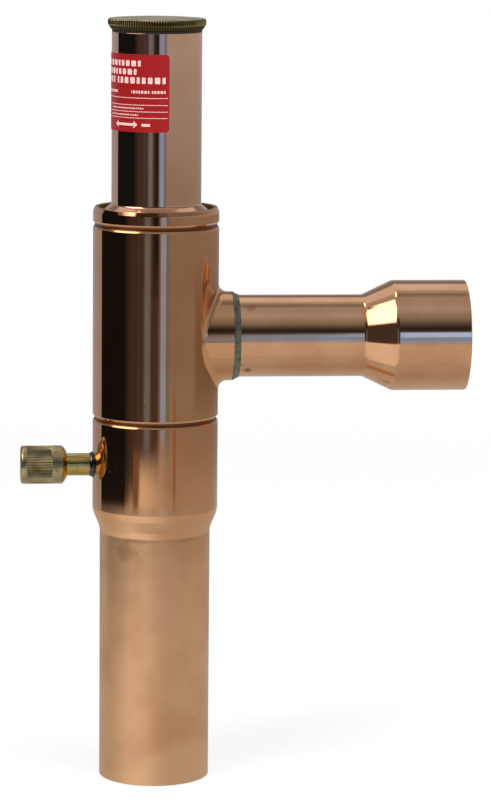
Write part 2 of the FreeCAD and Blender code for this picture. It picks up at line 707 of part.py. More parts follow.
def make_setting_screw():
    """The screw that loads the main spring, turned with an 8 mm hexagon key."""
    corners = [("0", UPPER_PLATE_TOP), ("size.screw_nose_radius", UPPER_PLATE_TOP)]
    corners += [("size.screw_nose_radius", SCREW_BOTTOM), (THREAD_PIN, SCREW_BOTTOM)]
    corners += [(THREAD_PIN, SCREW_TOP), ("0", SCREW_TOP)]
    body = turned_piece("setting_screw", corners)
    bevel_edges(body, "size.edge", ring(THREAD_PIN, SCREW_TOP), ring(THREAD_PIN, SCREW_BOTTOM))
    socket = draw_hexagon(body, "key_socket", "size.hexagon_width")
    lift(socket, SCREW_TOP)
    extrude(body, socket, "size.hexagon_depth", cut=True)
    return place(body)


def make_upper_spring_plate():
    corners = [("0", f"{UPPER_PLATE_BOTTOM} - size.spigot_length")]
    corners += [(SPIGOT_RADIUS, f"{UPPER_PLATE_BOTTOM} - size.spigot_length")]
    corners += [(SPIGOT_RADIUS, UPPER_PLATE_BOTTOM)]
    corners += [("size.spring_plate_radius", UPPER_PLATE_BOTTOM)]
    corners += [("size.spring_plate_radius", UPPER_PLATE_TOP), ("0", UPPER_PLATE_TOP)]
    body = turned_piece("upper_spring_plate", corners)
    spigot_end = ring(SPIGOT_RADIUS, f"{UPPER_PLATE_BOTTOM} - size.spigot_length")
    bevel_edges(body, "2 * size.edge", spigot_end)
    return place(body)


def make_lower_spring_plate():
    hole = "(size.stem_tip + size.fit_gap / 2)"
    spigot_top = f"({LOWER_PLATE_TOP} + size.spigot_length)"
    corners = [(hole, STEM_SHOULDER), ("size.spring_plate_radius", STEM_SHOULDER)]
    corners += [("size.spring_plate_radius", LOWER_PLATE_TOP)]
    corners += [(SPIGOT_RADIUS, LOWER_PLATE_TOP), (SPIGOT_RADIUS, spigot_top)]
    corners += [(hole, spigot_top)]
    body = turned_piece("lower_spring_plate", corners)
    bevel_edges(body, "2 * size.edge", ring(SPIGOT_RADIUS, spigot_top))
    return place(body)


def make_spring(label, wire, mean, start, length, coils, along=Vector(0, 0, 1), height="0"):
    """A coil spring whose ends are ground flat: the wire starts and stops half outside the ends."""
    body = new_piece(label)
    section = draw_circle(body, f"{label}_wire", wire, "XZ_Plane", across=mean, up=start)
    helix = body.newObject("PartDesign::AdditiveHelix", f"{label}_coils")
    helix.Profile = section
    helix.ReferenceAxis = (section, ["V_Axis"])
    helix.Mode = "height-turns-growth"
    helix.setExpression("Height", length)
    helix.setExpression("Turns", coils)
    doc.recompute()
    outer = f"({mean} + 3 * {wire})"
    for name, low, high in (
        ("lower_grinding", f"{start} - 3 * {wire}", start),
        ("upper_grinding", f"{start} + {length}", f"{start} + {length} + 3 * {wire}"),
    ):
        turn(body, draw(body, f"{label}_{name}", block("0", outer, low, high)), cut=True)
    return place(body, along, height)


def make_main_spring():
    return make_spring(
        "main_spring",
        "size.wire_radius",
        "size.spring_radius",
        LOWER_PLATE_TOP,
        SPRING_LENGTH,
        "size.spring_coils",
    )


def make_core_spring():
    return make_spring(
        "core_spring",
        "size.core_wire",
        "(size.core_pin_radius + size.core_chamber) / 2",
        CORE_CHAMBER_START,
        f"({CORE_COLLAR_START} - {CORE_CHAMBER_START})",
        "size.core_coils",
        GAUGE,
        GAUGE_HEIGHT,
    )


# Valve, bellows and seat


def make_valve_seat():
    """The seat ring, held by the lower groove, with a raised sealing lip."""
    corners = [("size.seat_bore", SEAT_BOTTOM), (SEATED_RADIUS, SEAT_BOTTOM)]
    corners += groove_in(SEATED_RADIUS, LOWER_GROOVE, SEATED_HALF, SEATED_BOW, True, -1)
    corners += [(SEATED_RADIUS, SEAT_TOP), (SEAT_LIP_RADIUS, SEAT_TOP)]
    corners += [(SEAT_LIP_RADIUS, SEAT_FACE), ("size.seat_bore", SEAT_FACE)]
    body = turned_piece("valve_seat", corners)
    lip = ring(SEAT_LIP_RADIUS, SEAT_FACE)
    bevel_edges(body, "size.edge", ring("size.seat_bore", SEAT_BOTTOM), lip)
    return place(body)


def make_valve_stem():
    """The stem that ties the spring, the bellows, the valve plate and the damping piston."""
    tip = f"({LOWER_PLATE_TOP} + size.spigot_length + 2 * size.edge)"
    corners = [("0", STEM_FOOT), ("size.stem_tip", STEM_FOOT), ("size.stem_tip", PISTON_TOP)]
    corners += [("size.stem_thread", PISTON_TOP), ("size.stem_thread", CUP_TOP)]
    corners += [("size.stem_radius", CUP_TOP), ("size.stem_radius", STEM_SHOULDER)]
    corners += [("size.stem_tip", STEM_SHOULDER), ("size.stem_tip", tip), ("0", tip)]
    body = turned_piece("valve_stem", corners)
    bevel_edges(body, "size.edge", ring("size.stem_tip", STEM_FOOT), ring("size.stem_tip", tip))
    return place(body)


def make_valve_plate():
    hole = "size.stem_thread + size.fit_gap / 2"
    corners = block(hole, VALVE_RADIUS, SEAT_FACE, VALVE_TOP)
    body = turned_piece("valve_plate", corners)
    bevel_edges(body, "size.edge", ring(VALVE_RADIUS, VALVE_TOP))
    return place(body)


def make_bellows_cup():
    """The end piece that joins the bellows' lower cuff to the stem."""
    hole = "(size.stem_thread + size.fit_gap / 2)"
    shoulder = "(size.bellows_radius - 2 * size.edge)"
    corners = [(hole, VALVE_TOP), (shoulder, VALVE_TOP), (shoulder, CUP_SHOULDER)]
    corners += [(CUFF_SPIGOT, CUP_SHOULDER), (CUFF_SPIGOT, CUP_TOP), (hole, CUP_TOP)]
    body = turned_piece("bellows_cup", corners)
    bevel_edges(body, "size.edge", ring(shoulder, CUP_SHOULDER), ring(shoulder, VALVE_TOP))
    return place(body)


def make_bellows():
    """Thin folded bellows between two plain cuffs. One fold is turned, then repeated."""
    body = new_piece("bellows")
    root = "size.bellows_root"
    crest = "size.bellows_radius"
    wall = "size.bellows_wall"
    flat = "(size.bellows_crest / 2)"
    middle = f"({CUP_TOP} + {FOLD_PITCH} / 2)"
    end = f"({CUP_TOP} + {FOLD_PITCH})"
    corners = [(root, CUP_TOP), (root, f"{CUP_TOP} + {flat}"), (crest, f"{middle} - {flat}")]
    corners += [(crest, f"{middle} + {flat}"), (root, f"{end} - {flat}"), (root, end)]
    corners += [(CUFF_BORE, end), (CUFF_BORE, f"{end} - {flat} - {wall}")]
    corners += [(f"{crest} - {wall}", f"{middle} + {flat} - {wall}")]
    corners += [(f"{crest} - {wall}", f"{middle} - {flat} + {wall}")]
    corners += [(CUFF_BORE, f"{CUP_TOP} + {flat} + {wall}"), (CUFF_BORE, CUP_TOP)]
    fold = turn(body, draw(body, "fold", corners))
    pattern = body.newObject("PartDesign::LinearPattern", "folds")
    pattern.Originals = [fold]
    axis = next(item for item in body.Origin.OriginFeatures if item.Role == "Z_Axis")
    pattern.Direction = (axis, [""])
    pattern.setExpression("Length", f"{FOLD_PITCH} * (size.bellows_folds - 1)")
    pattern.setExpression("Occurrences", "size.bellows_folds")
    body.Tip = pattern
    doc.recompute()
    lower = block(CUFF_BORE, root, CUP_SHOULDER, CUP_TOP)
    turn(body, draw(body, "lower_cuff", lower))
    upper = block(CUFF_BORE, root, FOLDS_TOP, FLANGE_BOTTOM)
    turn(body, draw(body, "upper_cuff", upper))
    return place(body)


def make_bellows_flange():
    """The disc that carries the bellows and guides the stem. Its collar is locked by the groove."""
    guide = "(size.stem_radius + size.running_gap)"
    collar = f"({SKIRT_BORE} - size.fit_gap)"
    top = f"({UPPER_GROOVE} + {SEATED_HALF} + size.flange_lip)"
    corners = [(guide, FOLDS_TOP), (CUFF_SPIGOT, FOLDS_TOP), (CUFF_SPIGOT, FLANGE_BOTTOM)]
    corners += [(SEATED_RADIUS, FLANGE_BOTTOM), (SEATED_RADIUS, SKIRT_BOTTOM)]
    corners += [(collar, SKIRT_BOTTOM)]
    corners += groove_in(collar, UPPER_GROOVE, SEATED_HALF, SEATED_BOW, True, -1)
    corners += [(collar, top), ("size.flange_opening", top)]
    corners += [("size.flange_opening", SKIRT_BOTTOM), (guide, SKIRT_BOTTOM)]
    return place(turned_piece("bellows_flange", corners))


# Damping dashpot and nuts


def make_damper_bracket():
    """The three-armed sheet under the seat that carries the dashpot."""
    body = new_piece("damper_bracket")
    half = "size.spoke_width / 2"
    rim = "(size.bracket_rim + size.fit_gap)"
    reach = f"({BODY_BORE} - {rim} + size.edge)"
    corners = [("0", f"-{half}"), (reach, f"-{half}"), (reach, half), ("0", half)]
    spoke = draw(body, "spoke", corners, "XY_Plane")
    lift(spoke, BRACKET_BOTTOM)
    arm = extrude(body, spoke, "size.bracket_thickness")
    repeat_round(body, [arm], "size.spoke_count")
    ring_outline = block(f"{BODY_BORE} - {rim}", SEATED_RADIUS, BRACKET_BOTTOM, SEAT_BOTTOM)
    turn(body, draw(body, "rim", ring_outline))
    hub = f"({BRACKET_BORE} + size.bracket_land)"
    turn(body, draw(body, "hub", block("0", hub, BRACKET_BOTTOM, SEAT_BOTTOM)))
    hole = draw_circle(body, "hub_hole", BRACKET_BORE, "XY_Plane")
    lift(hole, SEAT_BOTTOM)
    extrude(body, hole, None, cut=True)
    return place(body)


def make_damper_cylinder():
    """The dashpot's cup, hung by its rim, with a bleed hole in its floor."""
    rim = f"({CYLINDER_RADIUS} + size.damper_wall)"
    rim_top = f"({SEAT_BOTTOM} + size.damper_rim)"
    corners = [("size.bleed_radius", CYLINDER_BOTTOM), (CYLINDER_RADIUS, CYLINDER_BOTTOM)]
    corners += [(CYLINDER_RADIUS, SEAT_BOTTOM), (rim, SEAT_BOTTOM), (rim, rim_top)]
    corners += [("size.damper_radius", rim_top), ("size.damper_radius", CYLINDER_FLOOR)]
    corners += [("size.bleed_radius", CYLINDER_FLOOR)]
    body = turned_piece("damper_cylinder", corners)
    round_edges(body, "2 * size.edge", ring(CYLINDER_RADIUS, CYLINDER_BOTTOM))
    return place(body)


def make_damper_piston():
    hole = "size.stem_tip + size.fit_gap / 2"
    outer = "size.damper_radius - size.running_gap"
    return place(turned_piece("damper_piston", block(hole, outer, PISTON_BOTTOM, PISTON_TOP)))


def make_nut(label, width, bottom, height, hole):
    """A plain hexagon nut."""
    body = new_piece(label)
    outline = draw_hexagon(body, f"{label}_flats", width)
    lift(outline, bottom)
    extrude(body, outline, height)
    bore = draw_circle(body, f"{label}_bore", hole, "XY_Plane")
    lift(bore, f"{bottom} + {height}")
    extrude(body, bore, None, cut=True)
    return place(body)


def make_stem_nut():
    return make_nut(
        "stem_nut",
        "size.nut_width",
        f"({SEAT_FACE} - size.nut_height)",
        "size.nut_height",
        "size.stem_thread + size.fit_gap / 2",
    )


def make_piston_nut():
    return make_nut(
        "piston_nut",
        "size.piston_nut_width",
        f"({PISTON_BOTTOM} - size.piston_nut_height)",
        "size.piston_nut_height",
        "size.stem_tip + size.fit_gap / 2",
    )


# Protective cap


def make_cap_gasket():
    inner = f"{THREAD_RADIUS} + 3 * size.fit_gap"
    corners = block(inner, "size.bonnet_radius", BONNET_TOP, CAP_BOTTOM)
    return place(turned_piece("cap_gasket", corners))


def make_protective_cap():
    """The brass cap: a broad head, bevelled underneath, over a hollow threaded plug."""
    plug_bore = f"({THREAD_PIN} - size.plug_wall)"
    band_bottom = f"({CAP_BOTTOM} + size.cap_bevel_height)"
    band_top = f"({band_bottom} + size.cap_band)"
    corners = [("0", CAP_BOTTOM), (plug_bore, CAP_BOTTOM), (plug_bore, PLUG_BOTTOM)]
    corners += [(THREAD_PIN, PLUG_BOTTOM), (THREAD_PIN, CAP_BOTTOM)]
    corners += [(f"{CAP_RADIUS} - size.cap_bevel", CAP_BOTTOM)]
    corners += [(CAP_RADIUS, band_bottom), (CAP_RADIUS, band_top)]
    corners += [(f"{CAP_RADIUS} - size.edge", f"{CAP_TOP} - size.cap_crown")]
    corners += [(f"{CAP_RADIUS} - size.cap_crown_inset", CAP_TOP), ("0", CAP_TOP)]
    body = turned_piece("protective_cap", corners)
    bevel_edges(body, "size.edge", ring(THREAD_PIN, PLUG_BOTTOM))
    return place(body)


pieces = [
    make_body_tube(),
    make_bonnet(),
    make_outlet_stub(),
    make_outlet_braze(),
    make_rating_label(),
    make_gauge_stub(),
    make_gauge_braze(),
    make_core_body(),
    make_core_pin(),
    make_core_seal(),
    make_core_spring(),
    make_gauge_cap(),
    make_gauge_cap_gasket(),
    make_threaded_sleeve(),
    make_setting_screw(),
    make_upper_spring_plate(),
    make_main_spring(),
    make_lower_spring_plate(),
    make_valve_seat(),
    make_valve_stem(),
    make_valve_plate(),
    make_bellows_cup(),
    make_bellows(),
    make_bellows_flange(),
    make_damper_bracket(),
    make_damper_cylinder(),
    make_damper_piston(),
    make_stem_nut(),
    make_piston_nut(),
    make_cap_gasket(),
    make_protective_cap(),
]

# Checks and files

doc.recompute()
for item in doc.Objects:
    if "Invalid" in item.State or "Error" in item.State:
        raise RuntimeError(f"{item.Label} did not compute: {item.State}")
for piece in pieces:
    if piece.Shape.isNull() or not piece.Shape.isValid():
        raise RuntimeError(f"{piece.Label} has no valid shape")
    if len(piece.Shape.Solids) != 1:
        raise RuntimeError(f"{piece.Label} is not one solid")

os.makedirs("parts", exist_ok=True)
for piece in pieces:
    piece.Shape.exportStep(f"parts/{piece.Label}.step")
    print(f"{piece.Label:20s} {piece.Shape.Volume:10.1f} mm3")
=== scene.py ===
"""Looks of an evaporator pressure regulator: copper shell, brass fittings and the works inside.

Every length below is in millimetres unless a name says otherwise, and becomes metres when a mesh is
written. Turned pieces are drawn upright about their own Z axis and then laid along the body, the
outlet or the gauge port.
"""

import logging
import math
from dataclasses import dataclass, field, replace
from enum import Enum
from typing import Callable, Iterable, Optional, Sequence

import bmesh
import bpy
import numpy as np
from mathutils import Matrix, Vector


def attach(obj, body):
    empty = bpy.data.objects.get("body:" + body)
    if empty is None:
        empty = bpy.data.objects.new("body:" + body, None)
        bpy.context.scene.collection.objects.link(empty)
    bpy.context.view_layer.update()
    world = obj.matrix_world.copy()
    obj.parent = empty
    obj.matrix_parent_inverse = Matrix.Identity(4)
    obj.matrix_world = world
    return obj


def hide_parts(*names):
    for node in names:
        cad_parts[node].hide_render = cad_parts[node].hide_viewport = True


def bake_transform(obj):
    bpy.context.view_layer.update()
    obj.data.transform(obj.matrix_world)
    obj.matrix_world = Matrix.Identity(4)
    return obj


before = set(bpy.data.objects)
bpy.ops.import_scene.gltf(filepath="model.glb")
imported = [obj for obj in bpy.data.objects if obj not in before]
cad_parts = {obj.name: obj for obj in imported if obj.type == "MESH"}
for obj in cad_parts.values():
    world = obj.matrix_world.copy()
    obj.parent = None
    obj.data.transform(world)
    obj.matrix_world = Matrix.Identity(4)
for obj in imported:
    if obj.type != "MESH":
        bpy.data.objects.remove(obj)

LOG = logging.getLogger("regulator")
MM = 0.001
MICRON = MM * MM
FULL_TURN = 2.0 * math.pi
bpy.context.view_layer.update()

Mesh = bpy.types.Mesh
Piece = bpy.types.Object
Socket = bpy.types.NodeSocket
Tree = bpy.types.NodeTree
Point = tuple[float, float]
Place = tuple[float, float, float]
Colour = tuple[float, float, float, float]

# kinds of node that come up often, and settings that many nodes share
MATH = "ShaderNodeMath"
VECTOR_MATH = "ShaderNodeVectorMath"
MAP_RANGE = "ShaderNodeMapRange"
MIX = "ShaderNodeMix"
NOISE = "ShaderNodeTexNoise"
SPLIT = "ShaderNodeSeparateXYZ"
JOIN = "ShaderNodeCombineXYZ"
MOVE = "GeometryNodeSetPosition"
TIMES = {"operation": "MULTIPLY"}
TIMES_PLUS = {"operation": "MULTIPLY_ADD"}
MINUS = {"operation": "SUBTRACT"}
SMOOTH = {"interpolation_type": "SMOOTHSTEP"}
COLOURS = {"data_type": "RGBA"}
FOUR_D = {"noise_dimensions": "4D"}


class Body(str, Enum):
    """The bodies of the frame that pieces ride on."""

    HOUSING = "housing"
    VALVE = "valve"
    SETTING_PLATE = "setting_plate"
    SETTING_SCREW = "setting_screw"
    CAP_SEAL = "cap_seal"
    CAP = "cap"
    PORT_CAP_SEAL = "port_cap_seal"
    PORT_CAP = "port_cap"
    CORE = "core"


class Slot(str, Enum):
    """The record's material slots."""

    POLISHED_COPPER = "polished_copper"
    SATIN_COPPER = "satin_copper"
    BRAZE = "braze"
    BRASS = "brass"
    BRONZE = "bronze"
    STEEL = "steel"
    SEAL = "seal"
    LABEL = "label"


class Along(Enum):
    """The three axes that turned pieces are laid along, as the turn from upright."""

    BODY = ((1, 0, 0), (0, 1, 0), (0, 0, 1))
    OUTLET = ((0, 0, 1), (0, 1, 0), (-1, 0, 0))
    GAUGE = ((0, 0, -1), (0, 1, 0), (1, 0, 0))

    def matrix(self, height: float) -> Matrix:
        """The placement of a piece whose axis crosses the body's axis at a height."""
        placed = Matrix(self.value).to_4x4()
        placed.translation.z = height * MM
        return placed


def linear(code: str) -> Colour:
    """Turns an sRGB hex colour into the linear values that shaders take.

    Args:
        code: six hex digits after a hash sign.

    Returns:
        Red, green, blue and an alpha of 1.
    """
    channels = [int(code[start : start + 2], 16) / 255 for start in (1, 3, 5)]
    straight = [c / 12.92 if c <= 0.04045 else ((c + 0.055) / 1.055) ** 2.4 for c in channels]
    return (*straight, 1.0)


def add_node(
    tree: Tree,
    kind: str,
    settings: Optional[dict] = None,
    inputs: Optional[dict | Sequence] = None,
) -> bpy.types.Node:
    """Adds a node to a tree.

    Args:
        tree: the shader, world or geometry tree.
        kind: the node's type name.
        settings: attributes of the node.
        inputs: values or output sockets for its inputs, by name or number, or in their order.

    Returns:
        The new node.
    """
    node = tree.nodes.new(kind)
    for name, setting in (settings or {}).items():
        setattr(node, name, setting)
    sources = inputs.items() if isinstance(inputs, dict) else enumerate(inputs or ())
    for key, source in sources:
        socket = node.inputs[key]
        if isinstance(source, Socket):
            tree.links.new(source, socket)
        else:
            socket.default_value = source
    return node


# Finishes


class Grain(Enum):
    """The way that the fine lines of a finish run, as the stretch of a noise along X, Y and Z."""

    UPRIGHT = (1.0, 1.0, 0.02)
    ALONG_X = (0.02, 1.0, 1.0)
    NONE = (1.0, 1.0, 1.0)


@dataclass(frozen=True)
class AgedAndPaintedShadeZone:
    """A ring-shaped zone of a turned piece with a darker skin or painted shade, in millimetres.

    Attributes:
        inner: smallest radius of the zone.
        outer: largest radius.
        low: lowest height.
        high: greatest height.
        colour: colour of the skin or painted shade.
        roughness: roughness there.
        soft: width over which its edges fade.
    """

    inner: float
    outer: float
    low: float
    high: float
    colour: str
    roughness: float
    soft: float = 0.3

    def cover(self, tree: Tree, place: Socket) -> Socket:
        """How far the skin or painted shade covers each point, from 0 to 1."""
        x, y, z = add_node(tree, SPLIT, inputs=[place]).outputs
        squared = add_node(tree, MATH, TIMES, [y, y]).outputs[0]
        squared = add_node(tree, MATH, TIMES_PLUS, [x, x, squared]).outputs[0]
        radius = add_node(tree, MATH, {"operation": "SQRT"}, [squared]).outputs[0]
        result: Socket | float = 1.0
        for value, low, high in ((radius, self.inner, self.outer), (z, self.low, self.high)):
            for edge, side in ((low, 1.0), (high, -1.0)):
                half = side * self.soft / 2
                start, end = (edge - half) * MM, (edge + half) * MM
                inputs = {"Value": value, "From Min": start, "From Max": end}
                step = add_node(tree, MAP_RANGE, SMOOTH, inputs).outputs[0]
                result = add_node(tree, MATH, TIMES, [step, result]).outputs[0]
        return result


@dataclass(frozen=True)
class StainAndPaintedShade:
    """A soft-edged stain, painted shade or painted reflection on a piece, in millimetres.

    Attributes:
        place: its middle.
        reach: how far it reaches along X, Y and Z.
        colour: its colour.
        roughness: roughness under it.
        strength: share of its colour at the middle.
    """

    place: Place
    reach: Place
    colour: str
    roughness: float
    strength: float = 0.7

    def cover(self, tree: Tree, place: Socket) -> Socket:
        """How far the patch covers each point, from 0 to its strength."""
        middle = tuple(part * MM for part in self.place)
        moved = add_node(tree, VECTOR_MATH, MINUS, [place, middle]).outputs[0]
        scale = tuple(1.0 / (part * MM) for part in self.reach)
        scaled = add_node(tree, VECTOR_MATH, TIMES, [moved, scale]).outputs[0]
        away = add_node(tree, VECTOR_MATH, {"operation": "LENGTH"}, [scaled])
        uneven = add_node(tree, NOISE, inputs={"Vector": place, "Scale": 450.0})
        sources = [uneven.outputs[0], 0.7, away.outputs["Value"]]
        ragged = add_node(tree, MATH, TIMES_PLUS, sources).outputs[0]
        inputs = {"Value": ragged, "From Min": 1.3, "From Max": 0.55}
        share = add_node(tree, MAP_RANGE, SMOOTH, inputs).outputs[0]
        return add_node(tree, MATH, TIMES, [share, self.strength]).outputs[0]


@dataclass(frozen=True)
class Finish:
    """What a piece is made of and how it was finished, as a material that is built once.

    Attributes:
        name: the material's name.
        base: its main colour.
    """

    name: str
    base: str

    def material(self) -> bpy.types.Material:
        """Builds the material, or returns it if it has been built."""
        found = bpy.data.materials.get(self.name)
        if found:
            return found
        made = bpy.data.materials.new(self.name)
        made.use_nodes = True
        made.node_tree.nodes.clear()
        self.shade(made.node_tree)
        return made

    def shade(self, tree: Tree) -> None:
        """Fills the material's empty tree."""
        raise NotImplementedError


# pits and flux spots: their size, depth in micrometres, and the noise value that makes them
SPECK_SIZE = 1.1
SPECK_DEPTH = 20.0
SPECK_LEVEL = 0.8
# size of a wall's slow unevenness
RIPPLE_SIZE = 14.0
# heights over the edge of a drawn stretch at which the satin has gone and is full
SATIN_FADE = (8.0, -1.0)


@dataclass(frozen=True)
class MetalFinish(Finish):
    """A bare metal whose surface keeps the marks of its making.

    Attributes:
        tarnish: colour of its handled and aged patches.
        patch_size: size of the patches.
        roughness: lowest and highest roughness.
        tarnish_share: how much of the patches' colour shows.
        grain: the way that the making lines run.
        line_width: spacing of those lines.
        line_depth: depth of those lines, in micrometres.
        ripple: height of the slow unevenness of the wall, in micrometres.
        speck_share: how much of the surface small dark specks take.
        satin_below: height under which a tube is left as drawn, or none.
        satin_base: colour of the clean metal there.
        satin_roughness: roughness there, which the drawing lines stretch round the tube.
        marks: zones, stains, painted shade and painted reflections on top.
    """

    tarnish: str
    patch_size: float
    roughness: Point
    tarnish_share: float = 0.5
    grain: Grain = Grain.NONE
    line_width: float = 0.4
    line_depth: float = 3.0
    ripple: float = 0.0
    speck_share: float = 0.0
    satin_below: Optional[float] = None
    satin_base: str = "#FFFFFF"
    satin_roughness: float = 0.3
    marks: tuple[AgedAndPaintedShadeZone | StainAndPaintedShade, ...] = ()

    def shade(self, tree: Tree) -> None:
        """Lays wear, marks, painted shade and fine relief over the clean metal."""
        place = add_node(tree, "ShaderNodeTexCoord").outputs["Object"]
        inputs = {"Vector": place, "Scale": 1.0 / (self.patch_size * MM), "Detail": 3.0, "W": 1.0}
        patches = add_node(tree, NOISE, FOUR_D, inputs).outputs[0]
        inputs = {"Value": patches, "From Min": 0.42, "From Max": 0.68}
        worn = add_node(tree, MAP_RANGE, SMOOTH, inputs).outputs[0]
        lines = self._lines(tree, place)
        specks = self._specks(tree, place)
        drawn = self._as_drawn(tree, place)
        colour = self._colour(tree, worn, specks, drawn)
        roughness = self._roughness(tree, worn, lines, specks, drawn)
        for mark in self.marks:
            cover = mark.cover(tree, place)
            inputs = {"Factor": cover, 6: colour, 7: linear(mark.colour)}
            colour = add_node(tree, MIX, COLOURS, inputs).outputs[2]
            inputs = {"Factor": cover, "A": roughness, "B": mark.roughness}
            roughness = add_node(tree, MIX, inputs=inputs).outputs[0]
        inputs = {
            "Metallic": 1.0,
            "Base Color": colour,
            "Roughness": roughness,
            "Normal": self._bump(tree, place, lines, specks),
        }
        if drawn:
            settings = {"direction_type": "RADIAL", "axis": "Z"}
            inputs["Tangent"] = add_node(tree, "ShaderNodeTangent", settings).outputs[0]
            inputs["Anisotropic"] = add_node(tree, MATH, TIMES, [drawn, 0.8]).outputs[0]
        shader = add_node(tree, "ShaderNodeBsdfPrincipled", inputs=inputs)
        add_node(tree, "ShaderNodeOutputMaterial", inputs={"Surface": shader.outputs[0]})

    def _as_drawn(self, tree: Tree, place: Socket) -> Optional[Socket]:
        """1 where a tube is left as drawn and 0 where it is buffed, or none."""
        if self.satin_below is None:
            return None
        height = add_node(tree, SPLIT, inputs=[place]).outputs["Z"]
        gone, full = (self.satin_below * MM + rise * MM for rise in SATIN_FADE)
        inputs = {"Value": height, "From Min": gone, "From Max": full}
        return add_node(tree, MAP_RANGE, SMOOTH, inputs).outputs[0]

    def _lines(self, tree: Tree, place: Socket) -> Socket:
        """Fine lines that follow the grain, drawn a little coarser than life so that they show."""
        inputs = {"Vector": place, "Scale": self.grain.value}
        grained = add_node(tree, "ShaderNodeMapping", inputs=inputs).outputs[0]
        inputs = {"Vector": grained, "Scale": 1.0 / (self.line_width * MM), "Detail": 2.0, "W": 4.0}
        return add_node(tree, NOISE, FOUR_D, inputs).outputs[0]

    def _specks(self, tree: Tree, place: Socket) -> Socket:
        """Scattered pits and flux spots under half a millimetre across."""
        inputs = {"Vector": place, "Scale": 1.0 / (SPECK_SIZE * MM), "Detail": 1.0, "W": 9.0}
        scattered = add_node(tree, NOISE, FOUR_D, inputs).outputs[0]
        edge = SPECK_LEVEL - self.speck_share
        inputs = {"Value": scattered, "From Min": edge, "From Max": edge + 0.05}
        return add_node(tree, MAP_RANGE, SMOOTH, inputs).outputs[0]

    def _colour(
        self, tree: Tree, worn: Socket, specks: Socket, drawn: Optional[Socket]
    ) -> Socket:
        """The clean colour, tinted where the metal is handled and dark at its specks."""
        share = add_node(tree, MATH, TIMES, [worn, self.tarnish_share]).outputs[0]
        dark = tuple(0.35 * part for part in linear(self.tarnish)[:3]) + (1.0,)
        layers = [(drawn, linear(self.satin_base))] if drawn else []
        layers += [(share, linear(self.tarnish)), (specks, dark)]
        result: Socket | Colour = linear(self.base)
        for cover, shade in layers:
            inputs = {"Factor": cover, 6: result, 7: shade}
            result = add_node(tree, MIX, COLOURS, inputs).outputs[2]
        return result

    def _roughness(
        self, tree: Tree, worn: Socket, lines: Socket, specks: Socket, drawn: Optional[Socket]
    ) -> Socket:
        """Roughness from the wear, the lines and the stretch that is left as drawn."""
        low, high = self.roughness
        fine = add_node(tree, MATH, TIMES, [lines, 0.4]).outputs[0]
        both = add_node(tree, MATH, TIMES_PLUS, [worn, 0.6, fine]).outputs[0]
        inputs = {"Value": both, "To Min": low, "To Max": high}
        result = add_node(tree, MAP_RANGE, inputs=inputs).outputs[0]
        if drawn:
            sources = [lines, 0.05, self.satin_roughness]
            satin = add_node(tree, MATH, TIMES_PLUS, sources).outputs[0]
            inputs = {"Factor": drawn, "A": result, "B": satin}
            result = add_node(tree, MIX, inputs=inputs).outputs[0]
        return add_node(tree, MATH, TIMES_PLUS, [specks, 0.3, result]).outputs[0]

    def _bump(self, tree: Tree, place: Socket, lines: Socket, specks: Socket) -> Socket:
        """The making lines, over the slow unevenness of a drawn or turned wall."""
        inputs = {"Vector": place, "Scale": 1.0 / (RIPPLE_SIZE * MM), "Detail": 0.0, "W": 2.0}
        slow = add_node(tree, NOISE, FOUR_D, inputs).outputs[0]
        total = add_node(tree, MATH, TIMES, [slow, self.ripple * MICRON]).outputs[0]
        for source, height in ((lines, self.line_depth), (specks, -SPECK_DEPTH)):
            sources = [source, height * MICRON, total]
            total = add_node(tree, MATH, TIMES_PLUS, sources).outputs[0]
        inputs = {"Height": total, "Distance": 1.0, "Strength": 1.0}
        return add_node(tree, "ShaderNodeBump", inputs=inputs).outputs[0]


# Buffed drawn copper: a near mirror, so it shows its surroundings as upright bands. The inlet
# end is left as drawn, whose lengthwise lines blur them sideways into a soft pink glow. The bore
# keeps its olive oxide, darkened further inside the lip as painted shade of the gap, and the
# floors of the rolled grooves are brown lines of painted shade. Below the neck, a dark spot is a
# painted reflection and a band along the drawing die's step is painted shade.
BUFFED_COPPER = MetalFinish(
    "buffed_drawn_copper",
    "#E8AE80",
    "#D29468",
    patch_size=22.0,
    roughness=(0.03, 0.06),
    tarnish_share=0.45,
    grain=Grain.UPRIGHT,
    line_width=1.2,
    line_depth=1.0,
    ripple=18.0,
    speck_share=0.03,
    satin_below=91.5,
    satin_base="#F8C496",
    satin_roughness=0.2,
    marks=(
        # olive oxide over the bore, and painted shade in the gap inside the lip
        AgedAndPaintedShadeZone(0.0, 20.35, 100.0, 197.0, "#A0966E", 0.5, 0.2),
        # painted shade: brown lines in the floors of the rolled grooves, which also darken the bore
        AgedAndPaintedShadeZone(0.0, 20.92, 100.0, 193.0, "#7A4A2C", 0.35, 0.2),
        # painted reflection: a dark spot on the front, below the neck
        StainAndPaintedShade((-11.0, -15.2, 80.5), (6.0, 5.0, 5.0), "#A87450", 0.35, 0.4),
        # painted shade: a band across the front, along the drawing die's step below the neck
        StainAndPaintedShade((-7.5, -17.2, 84.6), (12.0, 6.0, 1.3), "#B07A54", 0.3, 0.4),
        StainAndPaintedShade((9.0, -16.5, 84.6), (10.0, 6.0, 1.2), "#B07A54", 0.3, 0.35),
    ),
)
# The bonnet is a shorter length of the same buffed tube, handled less.
BUFFED_BONNET_COPPER = MetalFinish(
    "buffed_bonnet_copper",
    "#EFBD9A",
    "#DCA27C",
    patch_size=18.0,
    roughness=(0.04, 0.08),
    tarnish_share=0.35,
    grain=Grain.UPRIGHT,
    line_width=0.9,
    line_depth=0.7,
    ripple=8.0,
)
